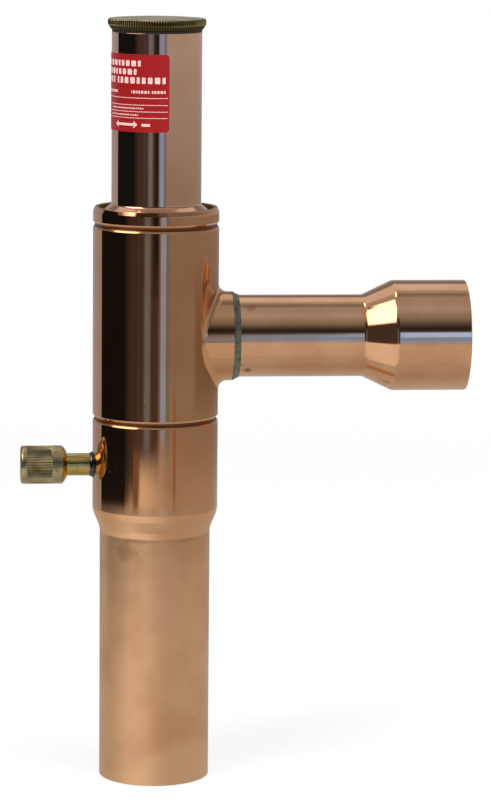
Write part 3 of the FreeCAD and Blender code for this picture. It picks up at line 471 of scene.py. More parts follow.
# Drawn copper as it leaves the swaging die: faint lines along the branch and a few handling marks.
DRAWN_COPPER = MetalFinish(
    "swaged_drawn_copper",
    "#F2BC92",
    "#D9976C",
    patch_size=16.0,
    roughness=(0.06, 0.11),
    tarnish_share=0.4,
    grain=Grain.ALONG_X,
    line_width=0.9,
    line_depth=1.0,
    ripple=14.0,
    speck_share=0.05,
    marks=(
        StainAndPaintedShade((30.5, -8.0, 141.5), (2.2, 5.0, 1.4), "#8C4A2C", 0.3, 0.7),
        StainAndPaintedShade((31.5, -8.5, 162.5), (2.6, 5.0, 1.6), "#A86A46", 0.3, 0.5),
        StainAndPaintedShade((76.0, -11.0, 137.0), (4.0, 5.0, 1.2), "#A05A34", 0.3, 0.7),
    ),
)
# Turned brass that has dulled to olive: soft highlights, brighter where fingers rub it.
DULL_BRASS = MetalFinish(
    "turned_dulled_brass",
    "#D8CBA6",
    "#B0A47C",
    patch_size=9.0,
    roughness=(0.36, 0.5),
    tarnish_share=0.8,
    line_width=0.5,
    line_depth=6.0,
    speck_share=0.02,
    marks=(
        # the rim and its bevel, darker and glossier than the crown
        AgedAndPaintedShadeZone(13.0, 17.0, 240.0, 258.6, "#A0905C", 0.26, 0.25),
        # painted shade in the valleys between the teeth and on the lower bevel, over some old
        # grease
        AgedAndPaintedShadeZone(15.2, 16.16, 255.0, 258.45, "#4C4228", 0.4, 0.25),
    ),
)
# Turned brass of the port: clearer and yellower than the cap, with sharper glints.
TURNED_BRASS = MetalFinish(
    "turned_bright_brass", "#D0B468", "#967E3C", 5.0, (0.15, 0.27), 0.6, speck_share=0.02
)
# Knurled brass of the port's cap, gone matt and olive where fingers turn it.
HANDLED_BRASS = MetalFinish(
    "knurled_handled_brass", "#C2B084", "#94855C", 4.0, (0.27, 0.4), 0.7, speck_share=0.02
)
# Silver brazing alloy after its flux is brushed off: dull grey-green, lumpy and pitted.
BRAZED_ALLOY = MetalFinish(
    "brushed_silver_braze",
    "#8E8F80",
    "#5C6152",
    patch_size=2.2,
    roughness=(0.4, 0.6),
    tarnish_share=0.9,
    line_width=0.7,
    line_depth=40.0,
    ripple=30.0,
    speck_share=0.12,
)
# The same alloy round the port, where the flux has stayed on as a glassy black skin.
FLUXED_ALLOY = replace(
    BRAZED_ALLOY,
    name="fluxed_silver_braze",
    base="#625F56",
    tarnish="#2C2A26",
    roughness=(0.14, 0.26),
    line_depth=15.0,
)
# Cold-coiled spring steel with a phosphate coat: dark grey and even.
SPRING_STEEL = MetalFinish("phosphated_spring_steel", "#8A8C90", "#5E6064", 3.0, (0.3, 0.42))
# Turned steel of the stem, plates and nuts: grey with fine tool lines.
TURNED_STEEL = MetalFinish(
    "turned_plain_steel", "#B9BBBF", "#94969A", 4.0, (0.22, 0.34), line_width=0.3
)
# Rolled phosphor bronze of the bellows: thin, springy and warmer than brass.
ROLLED_BRONZE = MetalFinish(
    "rolled_phosphor_bronze",
    "#D9B07A",
    "#B4875A",
    5.0,
    (0.18, 0.3),
    line_width=0.6,
    line_depth=2.0,
)


@dataclass(frozen=True)
class CoatFinish(Finish):
    """A finish that isn't bare metal: rubber, film or ink.

    Attributes:
        other: the colour that it drifts towards.
        roughness: lowest and highest roughness.
        grit: size of its fine texture.
        height: height of that texture, in micrometres.
    """

    other: str
    roughness: Point
    grit: float
    height: float

    def shade(self, tree: Tree) -> None:
        """Drifts between the two colours and lays a fine texture over them."""
        place = add_node(tree, "ShaderNodeTexCoord").outputs["Object"]
        scale = 1.0 / (self.grit * MM)
        fine, slow = (
            add_node(tree, NOISE, inputs={"Vector": place, "Scale": each}).outputs[0]
            for each in (scale, scale / 12)
        )
        inputs = {"Factor": slow, 6: linear(self.base), 7: linear(self.other)}
        colour = add_node(tree, MIX, COLOURS, inputs).outputs[2]
        low, high = self.roughness
        inputs = {"Value": slow, "To Min": low, "To Max": high}
        roughness = add_node(tree, MAP_RANGE, inputs=inputs).outputs[0]
        inputs = {"Height": fine, "Distance": self.height * MICRON}
        normal = add_node(tree, "ShaderNodeBump", inputs=inputs).outputs[0]
        inputs = {"Base Color": colour, "Roughness": roughness, "Normal": normal, "IOR": 1.5}
        shader = add_node(tree, "ShaderNodeBsdfPrincipled", inputs=inputs)
        add_node(tree, "ShaderNodeOutputMaterial", inputs={"Surface": shader.outputs[0]})


# Nitrile rubber and fibre of the gaskets: black, with a soft, slightly powdery surface.
NITRILE_RUBBER = CoatFinish("moulded_nitrile_rubber", "#141412", "#20201C", (0.5, 0.7), 0.3, 12.0)
# Printed vinyl film of the label: a clear red with a thin gloss.
VINYL_FILM = CoatFinish("printed_vinyl_film", "#9A0204", "#900204", (0.34, 0.46), 0.6, 3.0)
# The label's pale print, slightly pink because the red shines through it.
PRINTING_INK = CoatFinish("screened_pale_ink", "#F0C6C0", "#E4B4AE", (0.4, 0.5), 0.3, 2.0)


# Meshes


@dataclass(frozen=True)
class Corner:
    """A corner of a turned outline, with the radius that rounds it."""

    across: float
    up: float
    round: float = 0.0


@dataclass(frozen=True)
class OutlinePoint:
    """A point of a finished outline, with the outward normals before and after it."""

    across: float
    up: float
    before: Point
    after: Point


ARC_STEP = math.radians(7.5)
SAME_PLACE = 1e-7
LEVEL_GAP = 1e-4
MERGE_REACH = 2e-6
# bends in degrees over which an edge of a turned piece, a spring's wire or the bellows is sharp
PIECE_SHARP, WIRE_SHARP, FOLD_SHARP = 32.0, 50.0, 80.0
# how far from a threaded wall its band of ridges reaches
WALL_REACH = 0.3
RINGS_PER_TURN = 48
ROWS_PER_RIDGE = 6


def unit(across: float, up: float) -> Point:
    """The vector of length 1 in the direction of another."""
    length = math.hypot(across, up)
    return (across / length, up / length)


def outward(start: Point, end: Point) -> Point:
    """The normal on the right of a segment, which is outside in an anticlockwise outline."""
    return unit(end[1] - start[1], start[0] - end[0])


def rounded_outline(corners: Sequence[Corner]) -> list[OutlinePoint]:
    """Turns corners into the points of a closed outline, with true arcs and true normals.

    Args:
        corners: the outline's corners, anticlockwise with the axis on the left.

    Returns:
        The points, in order.
    """
    points: list[OutlinePoint] = []
    for index, corner in enumerate(corners):
        previous = corners[index - 1]
        following = corners[(index + 1) % len(corners)]
        here = (corner.across, corner.up)
        before = outward((previous.across, previous.up), here)
        after = outward(here, (following.across, following.up))
        bend = math.atan2(
            before[0] * after[1] - before[1] * after[0], before[0] * after[0] + before[1] * after[1]
        )
        if corner.round <= 0.0 or abs(bend) < ARC_STEP / 8:
            points.append(OutlinePoint(*here, before, after))
            continue
        side = math.copysign(corner.round, bend)
        reach = abs(corner.round * math.tan(bend / 2))
        along = (-before[1], before[0])
        start = (here[0] - along[0] * reach, here[1] - along[1] * reach)
        centre = (start[0] - before[0] * side, start[1] - before[1] * side)
        steps = max(2, math.ceil(abs(bend) / ARC_STEP))
        for step in range(steps + 1):
            angle = math.atan2(before[1], before[0]) + bend * step / steps
            normal = (math.cos(angle), math.sin(angle))
            place = (centre[0] + normal[0] * side, centre[1] + normal[1] * side)
            points.append(OutlinePoint(*place, normal, normal))
    return points


def levels_between(points: list[OutlinePoint], levels: Iterable[float]) -> list[OutlinePoint]:
    """Adds points to the upright stretches of an outline at given heights."""
    result: list[OutlinePoint] = []
    for index, point in enumerate(points):
        result.append(point)
        following = points[(index + 1) % len(points)]
        if abs(following.across - point.across) > SAME_PLACE:
            continue
        low, high = sorted((point.up, following.up))
        inside = [level for level in levels if low + LEVEL_GAP < level < high - LEVEL_GAP]
        inside.sort(reverse=following.up < point.up)
        for level in inside:
            result.append(OutlinePoint(point.across, level, point.after, point.after))
    return result


class MeshDraft:
    """Vertices and faces in millimetres, with a true normal for each face corner."""

    def __init__(self) -> None:
        """Starts an empty mesh."""
        self.places: list[Place] = []
        self.faces: list[tuple[int, ...]] = []
        self.normals: list[Place] = []

    def vertex(self, place: Sequence[float]) -> int:
        """Adds a vertex and returns its number."""
        self.places.append(tuple(place))
        return len(self.places) - 1

    def face(self, corners: Sequence[int], normals: Sequence[Sequence[float]]) -> None:
        """Adds a face whose corners have these normals."""
        self.faces.append(tuple(corners))
        self.normals.extend(tuple(normal) for normal in normals)

    def build(self, name: str) -> Mesh:
        """Writes the mesh in metres."""
        mesh = bpy.data.meshes.new(name)
        scaled = (np.array(self.places) * MM).tolist()
        mesh.from_pydata(scaled, [], self.faces)
        mesh.shade_smooth()
        mesh.normals_split_custom_set(self.normals)
        return mesh


def turn_outline(
    draft: MeshDraft,
    points: Sequence[OutlinePoint],
    columns: Sequence[float],
    skip: Optional[Callable[[int, int], bool]] = None,
) -> list[list[int]]:
    """Turns an outline about the Z axis.

    Args:
        draft: the mesh that takes the faces.
        points: the closed outline.
        columns: the angles of the columns, in radians, once round.
        skip: says of a row and a column whether the face above them is left out.

    Returns:
        The vertex numbers, by row and column.
    """
    rows: list[list[int]] = []
    for point in points:
        if point.across < SAME_PLACE:
            rows.append([draft.vertex((0.0, 0.0, point.up))] * len(columns))
            continue
        places = [
            (point.across * math.cos(angle), point.across * math.sin(angle), point.up)
            for angle in columns
        ]
        rows.append([draft.vertex(place) for place in places])

    def spun(normal: Point, angle: float) -> Place:
        """An outline's normal at a column."""
        return (normal[0] * math.cos(angle), normal[0] * math.sin(angle), normal[1])

    for row, point in enumerate(points):
        following = (row + 1) % len(points)
        if point.across < SAME_PLACE and points[following].across < SAME_PLACE:
            continue
        low, high = point.after, points[following].before
        for column, angle in enumerate(columns):
            if skip and skip(row, column):
                continue
            beside = (column + 1) % len(columns)
            loop = [
                (rows[row][column], spun(low, angle)),
                (rows[row][beside], spun(low, columns[beside])),
                (rows[following][beside], spun(high, columns[beside])),
                (rows[following][column], spun(high, angle)),
            ]
            kept = [item for place, item in enumerate(loop) if item[0] != loop[place - 1][0]]
            draft.face([item[0] for item in kept], [item[1] for item in kept])
    return rows


@dataclass(frozen=True)
class Stretch:
    """The body at the far end of a spring or bellows, and where the stretch starts and ends."""

    body: Body
    start: Place
    end: Place


def even_columns(count: int) -> list[float]:
    """Angles that divide a full turn evenly."""
    return [FULL_TURN * index / count for index in range(count)]


def dress(
    mesh: Mesh,
    name: str,
    finish: Finish,
    body: Body,
    replaced: Sequence[str] = (),
    stretch: Optional[Stretch] = None,
) -> Piece:
    """Makes a finished mesh a piece of the scene, parented to its body unless it is given a
    stretch.

    Args:
        mesh: the mesh, already in its place.
        name: the piece's name.
        finish: its material.
        body: the body that carries it, or its first end.
        replaced: the frame's nodes that it stands for.
        stretch: the other body that it reaches, if it does; such a piece keeps its place
            unparented.

    Returns:
        The new object.
    """
    mesh.materials.clear()
    mesh.materials.append(finish.material())
    piece = bpy.data.objects.new(name, mesh)
    bpy.context.scene.collection.objects.link(piece)
    if stretch:
        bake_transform(piece)
    else:
        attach(piece, body.value)
    if replaced:
        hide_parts(*replaced)
    carrier = f"{body.value} to {stretch.body.value}" if stretch else body.value
    LOG.info("%s: %d faces, %s, on %s", name, len(mesh.polygons), finish.name, carrier)
    return piece


def evaluated(mesh: Mesh, set_up: Callable[[Piece], None]) -> Mesh:
    """Runs modifiers on a mesh and returns the plain result.

    Args:
        mesh: the starting mesh.
        set_up: adds the modifiers to the object that it is given.

    Returns:
        A new mesh without modifiers.
    """
    holder = bpy.data.objects.new("holder", mesh)
    bpy.context.scene.collection.objects.link(holder)
    set_up(holder)
    graph = bpy.context.evaluated_depsgraph_get()
    graph.update()
    result = bpy.data.meshes.new_from_object(holder.evaluated_get(graph))
    bpy.data.objects.remove(holder)
    return result


def smoothed(mesh: Mesh, sharp: float = PIECE_SHARP) -> Mesh:
    """Shades a mesh smoothly, apart from edges that bend by more than an angle in degrees."""
    mesh.shade_smooth()
    mesh.set_sharp_from_angle(angle=math.radians(sharp))
    return mesh


def weighted_copy(node: str) -> Mesh:
    """A merged copy of a frame node's mesh, shaded smoothly with flat faces kept flat."""
    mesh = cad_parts[node].data.copy()
    work = bmesh.new()
    work.from_mesh(mesh)
    bmesh.ops.remove_doubles(work, verts=work.verts, dist=MERGE_REACH)
    work.to_mesh(mesh)
    work.free()
    for name in ("custom_normal", "sharp_face"):
        if name in mesh.attributes:
            mesh.attributes.remove(mesh.attributes[name])
    smoothed(mesh)

    def set_up(holder: Piece) -> None:
        """Weights the normals by the faces' areas."""
        holder.modifiers.new("weights", "WEIGHTED_NORMAL").keep_sharp = True

    return evaluated(mesh, set_up)


# Geometry trees


class GeometryTree:
    """A geometry node group with named inputs, and what it takes to run it on a mesh."""

    def __init__(self, name: str, sizes: dict[str, str]) -> None:
        """Starts a group that takes a mesh, sizes and a material.

        Args:
            name: the group's name.
            sizes: socket type of each size by name.
        """
        self.group = bpy.data.node_groups.new(name, "GeometryNodeTree")
        face = self.group.interface
        for label, kind in {"Mesh": "Geometry", **sizes, "Material": "Material"}.items():
            face.new_socket(label, in_out="INPUT", socket_type=f"NodeSocket{kind}")
        face.new_socket("Mesh", in_out="OUTPUT", socket_type="NodeSocketGeometry")
        self.entry = add_node(self.group, "NodeGroupInput").outputs

    def close(self, geometry: Socket) -> None:
        """Ends the tree in Realize Instances and Set Material."""
        plain = add_node(self.group, "GeometryNodeRealizeInstances", inputs=[geometry])
        inputs = {"Geometry": plain.outputs[0], "Material": self.entry["Material"]}
        dressed = add_node(self.group, "GeometryNodeSetMaterial", inputs=inputs)
        add_node(self.group, "NodeGroupOutput", inputs=[dressed.outputs[0]])

    def run(self, mesh: Mesh, sizes: dict[str, object]) -> Mesh:
        """Runs the tree on a mesh with sizes by input name, and returns the plain mesh."""

        def set_up(holder: Piece) -> None:
            """Sets each input by its identifier before the first evaluation."""
            modifier = holder.modifiers.new(self.group.name, "NODES")
            modifier.node_group = self.group
            for item in self.group.interface.items_tree:
                if item.in_out == "INPUT" and item.name in sizes:
                    modifier[item.identifier] = sizes[item.name]

        return evaluated(mesh, set_up)


def ridge_tree() -> GeometryTree:
    """Presses ridges into a turned mesh: knurls, threads or folds, from one rule.

    The phase of a ridge is its count round the piece plus its height over the pitch, so a pure
    count gives a straight knurl, a count of 1 a thread and a count of 0 the folds of a bellows.
    """
    sizes = "Count", "Per Length", "Depth", "Low", "High", "Run Out", "Inner", "Outer", "Roundness"
    tree = GeometryTree("pressed_ridges", dict.fromkeys(sizes, "Float"))
    group = tree.group
    known = {socket.name: socket for socket in tree.entry}
    place = add_node(group, "GeometryNodeInputPosition").outputs[0]
    known.update(zip("xyz", add_node(group, SPLIT, inputs=[place]).outputs))
    for name, operation, *sources in (
        ("y squared", "MULTIPLY", "y", "y"),
        ("radius squared", "MULTIPLY_ADD", "x", "x", "y squared"),
        ("radius", "SQRT", "radius squared"),
        ("angle", "ARCTAN2", "y", "x"),
        ("turns", "DIVIDE", "angle", FULL_TURN),
        ("height", "SUBTRACT", "z", "Low"),
        ("climbed", "MULTIPLY", "height", "Per Length"),
        ("phase", "MULTIPLY_ADD", "turns", "Count", "climbed"),
        ("share", "FRACT", "phase"),
        ("saw", "MULTIPLY_ADD", "share", 2.0, -1.0),
        ("folded", "ABSOLUTE", "saw"),
        ("sharp", "SUBTRACT", 1.0, "folded"),
        ("bend", "MULTIPLY", "share", FULL_TURN),
        ("wave", "COSINE", "bend"),
        ("soft", "MULTIPLY_ADD", "wave", -0.5, 0.5),
        ("foot", "ADD", "Low", "Run Out"),
        ("head", "SUBTRACT", "High", "Run Out"),
        ("near", "GREATER_THAN", "radius", "Inner"),
        ("far", "LESS_THAN", "radius", "Outer"),
        ("walls", "MULTIPLY", "near", "far"),
    ):
        values = [known.get(source, source) for source in sources]
        known[name] = add_node(group, MATH, {"operation": operation}, values).outputs[0]
    inputs = {"Factor": known["Roundness"], "A": known["sharp"], "B": known["soft"]}
    reach = add_node(group, MIX, inputs=inputs).outputs[0]
    reach = add_node(group, MATH, TIMES, [reach, known["Depth"]]).outputs[0]
    for end, full in (("Low", "foot"), ("High", "head")):
        inputs = {"Value": known["z"], "From Min": known[end], "From Max": known[full]}
        rise = add_node(group, MAP_RANGE, inputs=inputs).outputs[0]
        reach = add_node(group, MATH, TIMES, [reach, rise]).outputs[0]
    reach = add_node(group, MATH, TIMES, [reach, known["walls"]]).outputs[0]
    flat = add_node(group, JOIN, inputs=[known["x"], known["y"], 0.0]).outputs[0]
    away = add_node(group, VECTOR_MATH, {"operation": "NORMALIZE"}, [flat]).outputs[0]
    inputs = {0: away, "Scale": reach}
    offset = add_node(group, VECTOR_MATH, {"operation": "SCALE"}, inputs).outputs[0]
    inputs = {"Geometry": known["Mesh"], "Offset": offset}
    tree.close(add_node(group, MOVE, inputs=inputs).outputs[0])
    return tree


def coil_tree() -> GeometryTree:
    """Winds a coil spring about the Z axis from the height 0 and grinds both of its ends flat."""
    lengths = dict.fromkeys(("Mean Radius", "Wire Radius", "Length", "Turns"), "Float")
    tree = GeometryTree("wound_coil", {**lengths, "Points": "Int", "Sides": "Int"})
    group, entry = tree.group, tree.entry
    known = {socket.name: socket for socket in entry}
    known["number"] = add_node(group, "GeometryNodeInputIndex").outputs[0]
    for name, operation, *sources in (
        ("last", "SUBTRACT", "Points", 1.0),
        ("share", "DIVIDE", "number", "last"),
        ("turned", "MULTIPLY", "share", "Turns"),
        ("angle", "MULTIPLY", "turned", FULL_TURN),
        ("cosine", "COSINE", "angle"),
        ("sine", "SINE", "angle"),
        ("x", "MULTIPLY", "cosine", "Mean Radius"),
        ("y", "MULTIPLY", "sine", "Mean Radius"),
        ("z", "MULTIPLY", "share", "Length"),
    ):
        values = [known.get(source, source) for source in sources]
        known[name] = add_node(group, MATH, {"operation": operation}, values).outputs[0]
    centre = add_node(group, JOIN, inputs=[known[axis] for axis in "xyz"])
    line = add_node(group, "GeometryNodeMeshLine", inputs={"Count": entry["Points"]})
    inputs = {"Geometry": line.outputs[0], "Position": centre.outputs[0]}
    wound = add_node(group, MOVE, inputs=inputs)
    path = add_node(group, "GeometryNodeMeshToCurve", inputs=[wound.outputs[0]])
    inputs = {"Resolution": entry["Sides"], "Radius": entry["Wire Radius"]}
    section = add_node(group, "GeometryNodeCurvePrimitiveCircle", inputs=inputs)
    inputs = {"Curve": path.outputs[0], "Profile Curve": section.outputs[0], "Fill Caps": True}
    wire = add_node(group, "GeometryNodeCurveToMesh", inputs=inputs)
    place = add_node(group, "GeometryNodeInputPosition").outputs[0]
    x, y, z = add_node(group, SPLIT, inputs=[place]).outputs
    for operation, limit in (("MAXIMUM", 0.0), ("MINIMUM", entry["Length"])):
        z = add_node(group, MATH, {"operation": operation}, [z, limit]).outputs[0]
    ground = add_node(group, JOIN, inputs=[x, y, z])
    inputs = {"Geometry": wire.outputs[0], "Position": ground.outputs[0]}
    tree.close(add_node(group, MOVE, inputs=inputs).outputs[0])
    return tree


@dataclass(frozen=True)
class Ridges:
    """A band of ridges on a turned piece, in millimetres.

    Attributes:
        count: ridges round the piece, or starts of a thread.
        pitch: height of one ridge along the axis, or 0 where they run straight.
        depth: how far the valleys reach outwards, so less than 0 on an outside wall.
        low: where the band starts.
        high: where it ends.
        inner: smallest radius that it takes in.
        outer: largest radius that it takes in.
        run_out: length over which it fades at each end.
        roundness: 0 for sharp ridges and 1 for soft ones.
    """

    count: float
    pitch: float
    depth: float
    low: float
    high: float
    inner: float
    outer: float
    run_out: float = 0.4
    roundness: float = 0.3

    @classmethod
    def thread(
        cls, wall: float, pitch: float, depth: float, low: float, high: float, run_out: float
    ) -> "Ridges":
        """A single thread on a wall of a given radius."""
        return cls(1, pitch, depth, low, high, wall - WALL_REACH, wall + WALL_REACH, run_out)

    def press(self, tree: GeometryTree, mesh: Mesh, finish: Finish) -> Mesh:
        """Presses the ridges into an upright mesh."""
        sizes = {
            "Count": float(self.count),
            "Per Length": 1.0 / (self.pitch * MM) if self.pitch else 0.0,
            "Depth": self.depth * MM,
            "Low": self.low * MM,
            "High": self.high * MM,
            "Run Out": self.run_out * MM,
            "Inner": self.inner * MM,
            "Outer": self.outer * MM,
            "Roundness": self.roundness,
            "Material": finish.material(),
        }
        return tree.run(mesh, sizes)


@dataclass
class Workshop:
    """Makes the pieces, and holds the geometry trees that they share."""

    columns: int = 144
    ridges: GeometryTree = field(default_factory=ridge_tree)
    coils: GeometryTree = field(default_factory=coil_tree)

    def turned(
        self,
        corners: Sequence[Corner],
        along: Along = Along.BODY,
        height: float = 0.0,
        columns: int = 0,
        bands: Sequence[Ridges] = (),
        levels: Sequence[float] = (),
        finish: Finish = TURNED_BRASS,
    ) -> Mesh:
        """Turns an outline, presses its ridges and lays it along its axis.

        Args:
            corners: the outline, anticlockwise with the axis on the left.
            along: the axis.
            height: where that axis crosses the body's, in millimetres.
            columns: faces round the piece, or 0 for the usual number.
            bands: the ridges.
            levels: extra rows, which ridges along the axis need.
            finish: the material, which the ridges' tree sets.

        Returns:
            The mesh in its place.
        """
        draft = MeshDraft()
        points = levels_between(rounded_outline(corners), levels)
        turn_outline(draft, points, even_columns(columns or self.columns))
        mesh = draft.build("turned")
        for band in bands:
            mesh = band.press(self.ridges, mesh, finish)
        if bands:
            if "custom_normal" in mesh.attributes:
                mesh.attributes.remove(mesh.attributes["custom_normal"])
            smoothed(mesh)
        mesh.transform(along.matrix(height))
        return mesh

    def coiled(
        self,
        mean: float,
        wire: float,
        start: float,
        length: float,
        turns: float,
        along: Along = Along.BODY,
        height: float = 0.0,
        sides: int = 16,
    ) -> Mesh:
        """Winds a spring and lays it along its axis.

        Args:
            mean: radius of the coil, to the middle of its wire.
            wire: radius of the wire.
            start: where the spring starts along the axis.
            length: its length.
            turns: its number of turns.
            along: the axis.
            height: where that axis crosses the body's.
            sides: faces round the wire.

        Returns:
            The mesh in its place.
        """
        sizes = {
            "Mean Radius": mean * MM,
            "Wire Radius": wire * MM,
            "Length": length * MM,
            "Turns": turns,
            "Points": int(turns * RINGS_PER_TURN) + 1,
            "Sides": sides,
            "Material": SPRING_STEEL.material(),
        }
        mesh = self.coils.run(bpy.data.meshes.new("wire"), sizes)
        smoothed(mesh, WIRE_SHARP)
        mesh.transform(Matrix.Translation((0.0, 0.0, start * MM)))
        mesh.transform(along.matrix(height))
        return mesh


def part_of_coil(mesh: Mesh, sides: int, first: int, last: int) -> Mesh:
    """Cuts a wound spring to some of its rings, and closes the wire at the cuts.

    Args:
        mesh: the spring, whose vertices run ring by ring.
        sides: vertices in a ring.
        first: number of the first ring that is kept.
        last: number of the last.

    Returns:
        The cut copy.
    """
    work = bmesh.new()
    work.from_mesh(mesh)
    gone = [vertex for vertex in work.verts if not first <= vertex.index // sides <= last]
    bmesh.ops.delete(work, geom=gone, context="VERTS")
    open_edges = [edge for edge in work.edges if edge.is_boundary]
    bmesh.ops.holes_fill(work, edges=open_edges, sides=0)
    bmesh.ops.recalc_face_normals(work, faces=work.faces)
    part = bpy.data.meshes.new("part_of_coil")
    work.to_mesh(part)
    work.free()
    return smoothed(part, WIRE_SHARP)


def block(inner: float, outer: float, low: float, high: float, edge: float = 0.0) -> list[Corner]:
    """The outline of a plain ring."""
    places = ((inner, low), (outer, low), (outer, high), (inner, high))
    return [Corner(across, up, edge) for across, up in places]


@dataclass(frozen=True)
class Groove:
    """A groove rolled into a tube, by half of its height and its depth."""

    half: float
    depth: float

    def corners(self, radius: float, middle: float, upwards: bool) -> list[Corner]:
        """Its corners in a wall at a height, in the order of the way that the wall runs."""
        corners = [
            Corner(radius, middle - self.half, 0.5),
            Corner(radius - self.depth, middle, 0.8),
            Corner(radius, middle + self.half, 0.5),
        ]
        return corners if upwards else corners[::-1]


def steps(low: float, high: float, pitch: float) -> list[float]:
    """Heights from low to high, a pitch or a little less apart."""
    count = max(1, math.ceil((high - low) / pitch))
    return [low + (high - low) * index / count for index in range(count + 1)]


# Sub-assemblies


